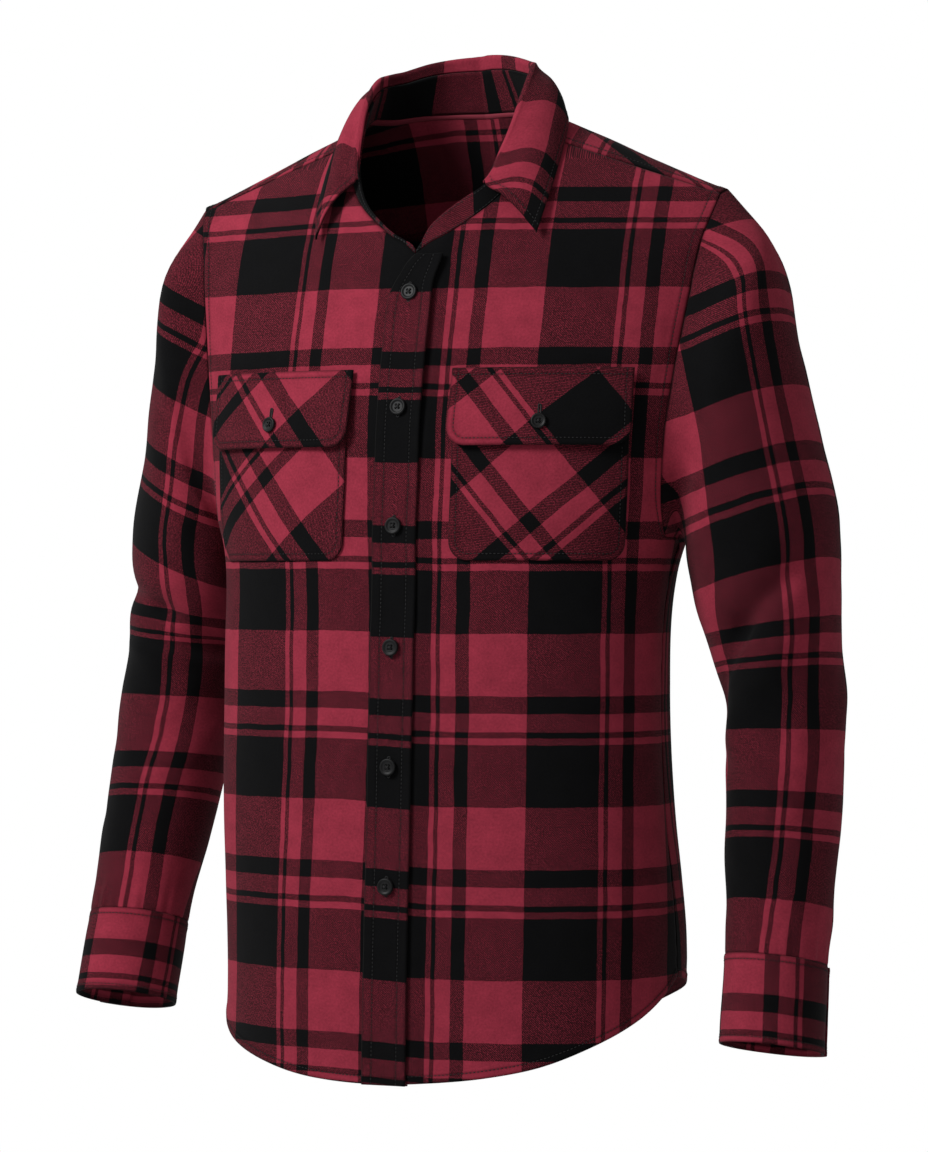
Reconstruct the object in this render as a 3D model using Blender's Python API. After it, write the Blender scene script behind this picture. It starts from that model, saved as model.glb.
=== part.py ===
"""Flannel shirt, worn form with no wearer. All sizes in millimetres: +Z up, the front faces -Y, +X is the
wearer's left, and the origin is the middle of the neck's base, level with the high shoulder points."""

import bpy
import numpy as np

for thing in list(bpy.data.objects):
    bpy.data.objects.remove(thing, do_unlink=True)

WALL = 1.4  # two faces of brushed flannel with their nap
CUFF_WALL = 2.0
COLLAR_WALL = 2.0
SEAM = 0.3
LIFT = 0.5  # what lies on a panel, clear of it
Z_ARM = -335.0  # the underarm point's height
ROUND = 2.5  # superellipse exponent of the body's sections
ARCH_FRONT, ARCH_BACK = 1.6, 2.2  # exponents of the curve from the chest or back up to the shoulder ridge

# The body's sections. half_l and half_r: from the middle to each side; y_side: where the side seam lies;
# front and back: depths from there to the middle of the front and of the back.
BODY = np.array([
    # z, half_l, half_r, y_side, front, back
    (-790, 191, 182, -6, 138, 108),
    (-755, 192, 182.5, -8, 135, 108),
    (-650, 193, 184, -12, 127, 103),
    (-600, 191, 184, -17, 119, 98),
    (-550, 187, 184.6, -20, 113, 95),
    (-500, 184.5, 184.6, -21, 110, 93),
    (-450, 183.5, 184.6, -20, 108, 92),
    (-400, 184, 185, -17, 108, 92),
    (-370, 186, 186, -12, 111, 90),
    (-350, 189, 188, -8, 114.5, 88),
    (-335, 193, 191, -5, 117.5, 88),
    (-317, 200, 197, -3, 119, 90),
    (-290, 206, 202, 0, 121, 93),
    (-247, 212, 208, 3, 126, 96),
    (-200, 219, 216, 6, 128, 98),
    (-135, 230, 229, 8, 129, 99),
    (-97, 238, 238, 8, 131, 100),
    (-56, 254, 254, 8, 131, 101),
    (20, 262, 262, 8, 131, 101),
    (60, 262, 262, 8, 131, 101),
], float)

# The shoulder ridge's height over x. Inside the neck hole it is only the curve that the fronts and the back lead to.
RIDGE = np.array([
    # x, z_front, z_back
    (0, 45, 64),
    (30, 38, 50),
    (55, 24, 28),
    (75, 12, 12),
    (100, 0, 0),
    (130, -13, -13),
    (160, -27, -27),
    (190, -40, -40),
    (228, -56, -56),
    (260, -68, -68),
], float)

# Hem heights from the middle to the side seam, as shares of the way.
HEM = np.array([
    # share, left front, right front, back
    (0.00, -757, -757, -760),
    (0.20, -754, -756, -754),
    (0.35, -749, -752, -737),
    (0.50, -740, -743, -716),
    (0.65, -724, -731, -700),
    (0.80, -705, -715, -688),
    (0.92, -688, -698, -680),
    (1.00, -677, -686, -677),
], float)

# Armhole seam: height, and angle round the body's section from the middle (90 is the side).
ARM_FRONT = np.array([
    # z, angle
    (-335, 90), (-333, 83.5), (-326, 77), (-309, 71.5), (-284, 68.2), (-255, 66.6), (-224, 65.7),
    (-193, 65.2), (-162, 64.8), (-132, 64.2), (-104, 63.2), (-80, 62), (-60, 60),
], float)
ARM_BACK = np.array([
    # z, angle
    (-335, 90), (-333, 84), (-325, 78), (-305, 73), (-272, 70), (-236, 69), (-200, 68.5),
    (-165, 68), (-135, 67.5), (-108, 66.5),
], float)

# Front neckline, from the middle to the yoke seam.
NECK_FRONT = np.array([
    # x, z
    (1, -106), (20, -93.5), (39, -80.5), (56, -66), (69, -48), (76.5, -27), (78, -8),
], float)
NECK_BACK = np.array([
    # x, z
    (78, -8), (77.5, 2), (75.8, 11.2), (72, 12.6), (66, 13.2), (58, 14.9), (48, 16.6), (36, 17.5), (20, 18), (0, 18),
], float)
NECK_BACK_Z = 18.0

YOKE_DROP = np.array([
    # x, fall of the front yoke seam below the ridge
    (80, 18), (120, 15), (165, 10), (228, 5),
], float)
YOKE_BACK_Z = -80.0

FRONT_COLS = 16
EDGE_ROWS = 6  # upper rows whose first column runs up the free edge; the rest run along the neckline
LOW_ROWS = 10
BACK_COLS = 12
YOKE_ARM = 4

EDGE_LAP = 18.6  # half of the 37 mm placket: how far each front passes the middle
LAP_RISE = 2.7  # the left front lies this far over the right one
FREE_EDGE = np.array([
    # z, how far the left front's free edge leans back to the wearer's left, and the right front's to the right
    (-800, 0, 0), (-155, 0, 0), (-142, 0.5, 2), (-130, 5, 8), (-118, 12, 14), (-106, 19.6, 19.6), (-60, 19.6, 19.6),
], float)


def smooth(at, knots, values):
    """Values at `at` on a smooth curve through the rows of a short table."""
    k, v = np.asarray(knots, float), np.asarray(values, float)
    if k[0] > k[-1]:
        k, v = k[::-1], v[::-1]
    more = (None,) * (v.ndim - 1)
    h = np.diff(k)
    d = np.diff(v, axis=0) / h[(slice(None),) + more]
    m = np.zeros_like(v)
    m[0], m[-1] = d[0], d[-1]
    left, right = h[:-1][(slice(None),) + more], h[1:][(slice(None),) + more]
    mean = (d[:-1] * right + d[1:] * left) / (left + right)
    least = 3 * np.minimum(np.abs(d[:-1]), np.abs(d[1:]))
    m[1:-1] = np.where(d[:-1] * d[1:] > 0, np.sign(mean) * np.minimum(np.abs(mean), least), 0)
    at = np.clip(np.asarray(at, float), k[0], k[-1])
    i = np.clip(np.searchsorted(k, at, side="right") - 1, 0, len(h) - 1)
    u = ((at - k[i]) / h[i])[(...,) + more]
    step = h[i][(...,) + more]
    return (
        v[i] * (2 * u**3 - 3 * u**2 + 1) + m[i] * step * (u**3 - 2 * u**2 + u)
        + v[i + 1] * (3 * u**2 - 2 * u**3) + m[i + 1] * step * (u**3 - u**2)
    )


def ease(t):
    t = np.clip(t, 0, 1)
    return t * t * (3 - 2 * t)


def half_width(side, z):
    return smooth(z, BODY[:, 0], BODY[:, 1 if side > 0 else 2])


def arch(face, x, z):
    """How much of the full depth is left at this height, 1 below the underarm and 0 on the ridge."""
    top = smooth(np.abs(x), RIDGE[:, 0], RIDGE[:, 1 if face < 0 else 2])
    t = np.clip((z - Z_ARM) / (top - Z_ARM), 0, 1)
    n = ARCH_FRONT if face < 0 else ARCH_BACK
    return (1 - t**n) ** (1 / n)


def body(side, face, angle, z):
    """The body's point at an angle from the middle of its front (face -1) or back (face 1) towards this side."""
    angle, z = np.broadcast_arrays(np.asarray(angle, float), np.asarray(z, float))
    a = np.radians(angle)
    x = side * half_width(side, z) * np.sign(np.sin(a)) * np.abs(np.sin(a)) ** (2 / ROUND)
    deep = smooth(z, BODY[:, 0], BODY[:, 4 if face < 0 else 5])
    y = smooth(z, BODY[:, 0], BODY[:, 3]) + face * deep * np.abs(np.cos(a)) ** (2 / ROUND) * arch(face, x, z)
    return np.stack([x, y, z], -1)


def angle_of(side, x, z):
    share = np.clip(side * np.asarray(x, float) / half_width(side, z), -1, 1)
    return np.degrees(np.arcsin(np.sign(share) * np.abs(share) ** (ROUND / 2)))


def over_ridge(side, x, psi):
    """The body's point over the shoulder: psi is 0 on the ridge, below 0 in front and above 0 behind."""
    x, psi = np.broadcast_arrays(np.asarray(x, float), np.radians(np.asarray(psi, float)))
    back = psi > 0
    n = np.where(back, ARCH_BACK, ARCH_FRONT)
    top = np.where(back, smooth(x, RIDGE[:, 0], RIDGE[:, 2]), smooth(x, RIDGE[:, 0], RIDGE[:, 1]))
    z = Z_ARM + (top - Z_ARM) * np.abs(np.cos(psi)) ** (2 / n)
    deep = np.where(back, smooth(z, BODY[:, 0], BODY[:, 5]), smooth(z, BODY[:, 0], BODY[:, 4]))
    across = (1 - np.clip(x / half_width(side, z), 0, 1) ** ROUND) ** (1 / ROUND)
    y = smooth(z, BODY[:, 0], BODY[:, 3]) + np.sign(psi) * deep * across * np.abs(np.sin(psi)) ** (2 / n)
    return np.stack([side * x, y, z], -1)


def psi_of(face, x, z):
    top = smooth(np.abs(x), RIDGE[:, 0], RIDGE[:, 1 if face < 0 else 2])
    t = np.clip((z - Z_ARM) / (top - Z_ARM), 0, 1)
    n = ARCH_FRONT if face < 0 else ARCH_BACK
    return face * np.degrees(np.arccos(t ** (n / 2)))


def coons(bottom, top, first, last):
    """A grid of (a, b) pairs between four edges: rows go from bottom to top, columns from first to last."""
    s = np.linspace(0, 1, len(bottom))[None, :, None]
    w = np.linspace(0, 1, len(first))[:, None, None]
    return (
        (1 - w) * bottom[None] + w * top[None] + (1 - s) * first[:, None] + s * last[:, None]
        - (1 - s) * (1 - w) * bottom[0] - s * (1 - w) * bottom[-1] - (1 - s) * w * top[0] - s * w * top[-1]
    )


def even_angles(side, face, first, last, z, count):
    """Angles that part one section of the body into even lengths."""
    a = np.linspace(first, last, 241)
    p = body(side, face, a, z)
    run = np.r_[0, np.cumsum(np.linalg.norm(np.diff(p, axis=0), axis=1))]
    return np.interp(np.linspace(0, run[-1], count + 1), run, a)


def free_edge_x(side, z):
    lean = smooth(z, FREE_EDGE[:, 0], FREE_EDGE[:, 1 if side > 0 else 2])
    return side * (lean - EDGE_LAP)


def along(table, count):
    """The table's rows resampled to count steps, evenly by row."""
    return smooth(np.linspace(0, len(table) - 1, count + 1), np.arange(len(table)), table)


def front_params(side):
    """(angle, z) of a front panel's grid, hem row first, free edge column first."""
    shares = np.linspace(0, 1, FRONT_COLS + 1)
    hem = smooth(shares, HEM[:, 0], HEM[:, 1 if side > 0 else 2])
    bottom_angles = even_angles(side, -1, angle_of(side, free_edge_x(side, Z_ARM), Z_ARM), 90, Z_ARM, FRONT_COLS)
    low = []
    for step in np.linspace(0, 1, LOW_ROWS + 1)[:-1]:
        z = hem + (Z_ARM - hem) * step
        a = even_angles(side, -1, angle_of(side, free_edge_x(side, z[0]), z[0]), 90, np.mean(z), FRONT_COLS)
        low.append(np.stack([a, z], -1))
    arm = ARM_FRONT[:, ::-1]
    corner_z, corner_angle = ARM_FRONT[-1]
    corner_x = abs(body(side, -1, corner_angle, corner_z)[0])
    top_x = np.linspace(NECK_FRONT[-1, 0], corner_x, FRONT_COLS + 1)
    top_z = smooth(top_x, RIDGE[:, 0], RIDGE[:, 1]) - smooth(top_x, YOKE_DROP[:, 0], YOKE_DROP[:, 1])
    top_z += (corner_z - top_z[-1]) * ease((top_x - 150) / (corner_x - 150))
    top_z += (NECK_FRONT[-1, 1] - top_z[0]) * ease((110 - top_x) / 32)
    top = np.stack([angle_of(side, side * top_x, top_z), top_z], -1)
    bottom = np.stack([bottom_angles, np.full(FRONT_COLS + 1, Z_ARM)], -1)
    edge_z = np.linspace(Z_ARM, NECK_FRONT[0, 1], EDGE_ROWS + 1)
    edge_x = side * free_edge_x(side, edge_z)
    neck = along(NECK_FRONT, len(arm) - 1 - EDGE_ROWS)[1:]
    first_x, first_z = np.r_[edge_x, neck[:, 0]], np.r_[edge_z, neck[:, 1]]
    first = np.stack([angle_of(side, side * first_x, first_z), first_z], -1)
    return np.concatenate([np.array(low), coons(bottom, top, first, arm)])


def raised(side, points):
    """The left front is lifted where it laps over the right one."""
    if side < 0:
        return points
    x, z = points[..., 0], points[..., 2]
    rise = LAP_RISE * ease((EDGE_LAP + 16 - x) / 14)
    out = points.copy()
    out[..., 1] -= rise
    return out


def front_grid(side):
    p = front_params(side)
    return raised(side, body(side, -1, p[..., 0], p[..., 1]))


def back_params(side):
    shares = np.linspace(0, 1, BACK_COLS + 1)
    hem = smooth(shares, HEM[:, 0], HEM[:, 3])
    side_z = HEM[-1, 1 if side > 0 else 2]
    hem = hem + (side_z - HEM[-1, 3]) * shares**3
    low = []
    for step in np.linspace(0, 1, LOW_ROWS + 1)[:-1]:
        z = hem + (Z_ARM - hem) * step
        low.append(np.stack([even_angles(side, 1, 0, 90, np.mean(z), BACK_COLS), z], -1))
    bottom = np.stack([even_angles(side, 1, 0, 90, Z_ARM, BACK_COLS), np.full(BACK_COLS + 1, Z_ARM)], -1)
    arm = ARM_BACK[:, ::-1]
    corner_z, corner_angle = ARM_BACK[-1]
    corner_x = abs(body(side, 1, corner_angle, corner_z)[0])
    top_x = np.linspace(0, corner_x, BACK_COLS + 1)
    top_z = YOKE_BACK_Z + (corner_z - YOKE_BACK_Z) * (top_x / corner_x) ** 2
    top = np.stack([angle_of(side, side * top_x, top_z), top_z], -1)
    edge_z = np.linspace(Z_ARM, YOKE_BACK_Z, len(arm))
    first = np.stack([np.zeros(len(arm)), edge_z], -1)
    return np.concatenate([np.array(low), coons(bottom, top, first, arm)])


def back_half(side):
    p = back_params(side)
    return body(side, 1, p[..., 0], p[..., 1])


def yoke_half(side, front, back):
    """From the front yoke seam (first row) round to the middle of the back (last row); neckline column first."""
    seam = front[-1]
    front_x = np.abs(seam[:, 0])
    first = np.stack([front_x, psi_of(-1, front_x, seam[:, 2])], -1)
    top = back[-1]
    back_x = np.abs(top[::-1, 0])
    back_edge = np.stack([back_x, psi_of(1, back_x, top[::-1, 2])], -1)
    corner_front, corner_back = first[-1], back_edge[0]
    steps = np.linspace(0, 1, YOKE_ARM + 1)
    arm_psi = corner_front[1] + (corner_back[1] - corner_front[1]) * steps**1.15
    tip = 228.5
    share = np.clip(arm_psi / corner_back[1], 0, 1)
    arm_x = np.where(arm_psi < 0, tip + (corner_front[0] - tip) * (arm_psi / corner_front[1]) ** 2,
                     tip + (corner_back[0] - tip) * share**1.5)
    outer = np.concatenate([np.stack([arm_x, arm_psi], -1)[:-1], back_edge])
    outer[0] = corner_front
    rows = len(outer)
    neck = along(NECK_BACK, rows - 1)
    front_face = psi_of(-1, neck[:, 0], neck[:, 1])
    back_face = psi_of(1, neck[:, 0], neck[:, 1])
    over = np.arange(rows) / (rows - 1) * (len(NECK_BACK) - 1) > 2
    inner = np.stack([neck[:, 0], np.where(over, back_face, front_face)], -1)
    inner[0] = first[0]
    last_z = np.linspace(NECK_BACK_Z, YOKE_BACK_Z, len(seam))
    last = np.stack([np.zeros(len(seam)), psi_of(1, np.zeros(len(seam)), last_z)], -1)
    grid = coons(first, last, inner, outer)
    return over_ridge(side, grid[..., 0], grid[..., 1])


# Sleeve rings, from the cap to the cuff's bottom. across and deep are half sizes; outer_up and front_up tip the
# ring's outer and front edges upwards, in degrees.
SLEEVE_LEFT = np.array([
    # x, y, z, across, deep, outer_up, front_up
    (229, 4, -213, 124.5, 60, 74.3, 0),
    (243, 5, -257, 91.5, 66, 62, 0),
    (251.5, 7, -300.5, 72, 69, 45.6, 0),
    (259.5, 9, -345, 62, 67, 24, 0),
    (263, 10, -384, 56, 63, 12, 0),
    (269, 11, -421, 51.5, 57, 6, 2),
    (273.5, 12, -458, 48.5, 54, 2, 3),
    (274.5, 11, -497, 47.5, 52, 0, 4),
    (275, 9, -537, 46, 50.5, 0, 6),
    (274.5, 5, -577, 45, 49, 0, 9),
    (275.7, -3, -616, 42, 46, -1, 11),
    (276.5, -13, -650, 39.8, 44, -2, 12),
    (277, -16, -660.5, 39.5, 43.6, -2, 12),
    (279.7, -34, -728, 40.2, 44.6, -2, 12),
], float)
SLEEVE_RIGHT = np.array([
    # x, y, z, across, deep, outer_up, front_up
    (219.5, 5, -216, 126, 59, 76.5, 0),
    (228, 8, -259, 91, 66, 67, 0),
    (235, 13, -303, 67, 70, 53, 0),
    (243, 20, -346, 56.5, 69, 27, 0),
    (246, 24, -384, 50, 65, 12, 0),
    (250, 24, -421, 48, 60, 5, 2),
    (257, 20, -458, 48, 56, 2, 3),
    (262, 15, -497, 47.5, 52, 0, 5),
    (267, 9, -537, 46.5, 50, 0, 8),
    (272.5, 2, -577, 44.5, 47, 0, 11),
    (275.5, -9, -612, 41, 44, 0, 14),
    (277, -17, -636, 39.8, 43, 0, 15),
    (277.3, -19, -643, 39.5, 42.8, 0, 15),
    (280.6, -37, -709, 40.2, 43.6, 0, 15),
], float)
# Where the sleeve's rows of faces lie, counted in rings: closest together at the elbow's folds.
SLEEVE_ROWS = np.array([
    0, 0.33, 0.67, 1, 2, 2.6, 3.2, 3.7, 4.1, 4.45, 4.8, 5.15, 5.5, 5.85, 6.2, 6.6, 7.2, 8.1, 9.2, 10.3, 11.3, 12.2, 13,
])
# Folds pressed into the sleeves: troughs from one place to another, each with a low ridge on its upper side.
SLEEVE_FOLDS = np.array([
    # side, angle_a, z_a, angle_b, z_b, depth, width
    (1, 132, -356, 84, -400, 4.0, 17),
    (1, 84, -400, 30, -462, 5.5, 18),
    (1, 250, -372, 330, -430, 3.5, 18),
    (-1, 160, -368, 92, -393, 3.5, 16),
    (-1, 92, -393, 35, -424, 4.5, 17),
    (-1, 250, -380, 330, -432, 3.5, 18),
], float)
CUFF_ROWS = 3
CUFF_COLS = 30
CUFF_LAP = 24.0  # how far the cuff's ends lap


def ring_points(side, row, beta):
    """A ring's points at angles beta: 0 the inner side, 90 the front, 180 the outer side, 270 the back."""
    x, y, z, across, deep, outer_up, front_up = row
    up, forward = np.radians(outer_up), np.radians(front_up)
    out = np.array([side * np.cos(up), 0, np.sin(up)])
    ahead = np.array([0, -np.cos(forward), np.sin(forward)])
    b = np.radians(np.asarray(beta, float))[..., None]
    return np.array([side * x, y, z]) - across * np.cos(b) * out + deep * np.sin(b) * ahead


def armhole_loop(front, yoke, back):
    """Underarm, up the front's edge, over the yoke's edge and down the back's edge, without the closing point."""
    return np.concatenate([front[LOW_ROWS:, -1], yoke[1:YOKE_ARM, -1], back[LOW_ROWS:, -1][::-1]])[:-1]


def sleeve_grid(side, loop):
    table = SLEEVE_LEFT if side > 0 else SLEEVE_RIGHT
    count = len(loop)
    closed = np.concatenate([loop, loop[:1]])
    run = np.r_[0, np.cumsum(np.linalg.norm(np.diff(closed, axis=0), axis=1))]
    share = run[:-1] / run[-1]
    tip = share[np.argmax(loop[:, 2])]
    own = np.where(share < tip, share / tip * 0.5, 0.5 + (share - tip) / (1 - tip) * 0.5)
    even = np.arange(count) / count
    rings, betas = [loop], [360 * own]
    for k, row in enumerate(table[:-1]):
        mix = ease((k + 1) / 7)
        betas.append(360 * (own * (1 - mix) + even * mix))
        rings.append(ring_points(side, row, betas[-1]))
    rings, betas = np.array(rings), np.array(betas)
    middle = rings.mean(axis=1)
    at = np.r_[0, np.cumsum(np.linalg.norm(np.diff(middle, axis=0), axis=1))]
    where = np.interp(SLEEVE_ROWS, np.arange(len(at)), at)
    grid, beta = smooth(where, at, rings), smooth(where, at, betas)
    return grid + sleeve_folds(side, grid, beta)


def sleeve_folds(side, grid, beta):
    """The sleeve's folds as shifts of its points, straight in or out from its middle."""
    away = grid - grid.mean(axis=1, keepdims=True)
    away[..., 2] = 0
    away /= np.linalg.norm(away, axis=-1, keepdims=True)
    shift = np.zeros(grid.shape[:2])
    for _, angle_a, z_a, angle_b, z_b, depth, width in SLEEVE_FOLDS[SLEEVE_FOLDS[:, 0] == side]:
        a, b = np.array([angle_a * 0.95, z_a]), np.array([angle_b * 0.95, z_b])
        line = b - a
        length = np.linalg.norm(line)
        rel = np.stack([beta * 0.95, grid[..., 2]], -1) - a
        run = rel @ line / length
        off = (rel[..., 0] * line[1] - rel[..., 1] * line[0]) / length * np.sign(line[0])
        past = np.maximum(np.maximum(-run, run - length), 0)
        fade = np.exp(-((past / 18) ** 2))
        shift += depth * fade * (0.55 * np.exp(-(((off - 1.5 * width) / width) ** 2)) - np.exp(-((off / width) ** 2)))
    return away * shift[..., None]


def cuff_grid(side):
    """One strip round the wrist whose ends lap at the back of the cuff."""
    table = SLEEVE_LEFT if side > 0 else SLEEVE_RIGHT
    top, bottom = table[-2], table[-1]
    girth = 2 * np.pi * np.sqrt((top[3] ** 2 + top[4] ** 2) / 2)
    lap = 360 * CUFF_LAP / girth
    turn = np.linspace(0, 360 + lap, CUFF_COLS + 1)
    beta = 262 - lap / 2 - turn
    rise = 0.4 + 2.9 * ease((turn - 300) / 55)
    grid = []
    for w in np.linspace(0, 1, CUFF_ROWS + 1):
        row = top + (bottom - top) * w
        points = ring_points(side, row, beta)
        centre = np.array([side * row[0], row[1], row[2]])
        away = points - centre
        away /= np.linalg.norm(away, axis=1, keepdims=True)
        grid.append(points + away * rise[:, None])
    return np.array(grid)


def front_strip(panel, reach, z, lift):
    """Points on a front panel at distances from the middle along its section at each height, lifted off the cloth."""
    side = 1 if panel[0, -1, 0] > 0 else -1

    def section(height):
        return np.array([[np.interp(height, column[:, 2], column[:, i]) for i in range(3)] for column in panel.transpose(1, 0, 2)])

    out = []
    for r, h, up in zip(reach, z, np.broadcast_to(lift, reach.shape)):
        low, mid, high = section(h - 5), section(h), section(h + 5)
        run = np.r_[0, np.cumsum(np.linalg.norm(np.diff(mid, axis=0), axis=1))]
        run -= np.interp(0, side * mid[:, 0], run)

        def at(rows, where):
            return np.stack([np.interp(where, run, rows[:, i]) for i in range(3)], -1)

        across, rise = at(mid, r + 6) - at(mid, r - 6), at(high, r) - at(low, r)
        n = np.cross(side * across, rise)
        n /= np.linalg.norm(n, axis=1, keepdims=True)
        out.append(at(mid, r) + n * up[:, None])
    return np.array(out)


POCKET_IN, POCKET_OUT = 45.0, 184.0  # distances from the middle of the front
POCKET_TOP, POCKET_BOTTOM = -206.0, -349.0
FLAP_TOP, FLAP_BOTTOM = -199.5, -260.0
CORNER = 15.0


def rounded_share(z, bottom, half):
    """Half width left at height z of a shape whose lower corners have the corner radius."""
    up = np.clip(z - bottom, 0, CORNER)
    return half - CORNER + np.sqrt(np.maximum(CORNER**2 - (CORNER - up) ** 2, 0))


def with_rows(panel, heights, reach):
    """Heights with the panel's own rows added, so that what lies on the panel bends where it bends."""
    column = panel[:, np.argmin(np.abs(np.abs(panel[LOW_ROWS, :, 0]) - reach)), 2]
    own = column[(column < heights.max() - 6) & (column > heights.min() + CORNER + 4)]
    own = [z for z in own if np.min(np.abs(heights - z)) > 5]
    return np.sort(np.r_[heights, own])[::-1]


def patch_grid(panel, inner, outer, heights, bottom, cols, lift):
    middle, half = (inner + outer) / 2, (outer - inner) / 2
    widths = rounded_share(heights, bottom, half)
    reach = middle + widths[:, None] * np.linspace(-1, 1, cols + 1)[None, :]
    return front_strip(panel, reach, heights, lift)


def pocket_grid(panel):
    heights = np.r_[POCKET_TOP, -270.0, POCKET_BOTTOM + CORNER * np.array([1, 0.62, 0.3, 0.1, 0])]
    heights = with_rows(panel, heights, 100)
    s = np.abs(np.linspace(-1, 1, 9))
    lift = WALL + LIFT + 0.6 + 0.9 * (1 - s[None, :] ** 4) * ease((heights[:, None] - POCKET_BOTTOM) / 40)
    return patch_grid(panel, POCKET_IN, POCKET_OUT, heights, POCKET_BOTTOM, 8, lift)


def flap_grid(panel):
    heights = np.r_[np.linspace(FLAP_TOP, FLAP_BOTTOM + CORNER, 5), FLAP_BOTTOM + CORNER * np.array([0.62, 0.3, 0.1, 0])]
    down = ease((FLAP_TOP - heights) / (FLAP_TOP - FLAP_BOTTOM))
    s = np.linspace(-1, 1, 9)
    over = 2 * (WALL + LIFT) + 1.3
    lift = over + down[:, None] * (3.0 + 0.8 * np.abs(s[None, :]) ** 3)
    return patch_grid(panel, POCKET_IN - 3, POCKET_OUT, heights, FLAP_BOTTOM, 8, lift)


def placket_grid(panel):
    z = with_rows(panel, np.r_[-107.5, -114, -122, -135, -150, -180, HEM[0, 1] - 0.5], 2)
    lean = smooth(z, FREE_EDGE[:, 0], FREE_EDGE[:, 1])
    inner = EDGE_LAP + 0.5 + 5.5 * ease((z + 135) / 30)
    reach = (lean - EDGE_LAP)[:, None] + (inner - lean + EDGE_LAP)[:, None] * np.linspace(0, 1, 5)[None, :]
    lift = WALL + LIFT + 0.9 * ease((z + 260) / 60)
    return front_strip(panel, reach, z, lift[:, None])


BUTTON_Z = [-138.0, -229.0, -322.0, -417.0, -510.0, -603.0]
BUTTON_R, BUTTON_T = 6.8, 2.6
FLAP_BUTTON_R = 6.2
SIDES = 14


def turned(name, at, normal, radius, thick):
    """A button: a disc with a raised rounded rim, seated on the cloth at `at`."""
    profile = np.array([(0, 0), (0.82, 0), (1.0, 0.5), (0.88, 1.0), (0.70, 0.75), (0, 0.70)])
    n = np.asarray(normal, float) / np.linalg.norm(normal)
    e = np.cross(n, [0, 0, 1.0])
    e /= np.linalg.norm(e)
    f = np.cross(n, e)
    turn = np.linspace(0, 2 * np.pi, SIDES, endpoint=False)
    rim = np.cos(turn)[:, None] * e + np.sin(turn)[:, None] * f
    points = [at]
    for r, h in profile[1:-1]:
        points.extend(at + rim * r * radius + n * h * thick)
    points.append(at + n * profile[-1, 1] * thick)
    faces = []
    for j in range(SIDES):
        k = (j + 1) % SIDES
        faces.append((0, 1 + j, 1 + k))
        for i in range(len(profile) - 3):
            a, b = 1 + SIDES * i, 1 + SIDES * (i + 1)
            faces.append((a + j, b + j, b + k, a + k))
        last = 1 + SIDES * (len(profile) - 3)
        faces.append((last + j, len(points) - 1, last + k))
    make(name, np.array(points), faces)


def make(name, points, faces):
    mesh = bpy.data.meshes.new(name)
    mesh.from_pydata([tuple(p) for p in np.asarray(points) * 0.001], [], faces)
    mesh.validate()
    volume = 0.0
    mesh.calc_loop_triangles()
    for t in mesh.loop_triangles:
        a, b, c = (mesh.vertices[i].co for i in t.vertices)
        volume += a.dot(b.cross(c))
    if volume < 0:
        mesh.flip_normals()
    obj = bpy.data.objects.new(name, mesh)
    bpy.context.scene.collection.objects.link(obj)
    return obj


def normals_of(grid, closed):
    if closed:
        across = np.roll(grid, -1, axis=1) - np.roll(grid, 1, axis=1)
    else:
        across = np.gradient(grid, axis=1)
    along_rows = np.gradient(grid, axis=0)
    n = np.cross(across, along_rows)
    return n / np.maximum(np.linalg.norm(n, axis=-1, keepdims=True), 1e-9)


def border_mask(grid, closed):
    mask = np.zeros(grid.shape[:2], bool)
    mask[0] = mask[-1] = True
    if not closed:
        mask[:, 0] = mask[:, -1] = True
    return mask


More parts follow.
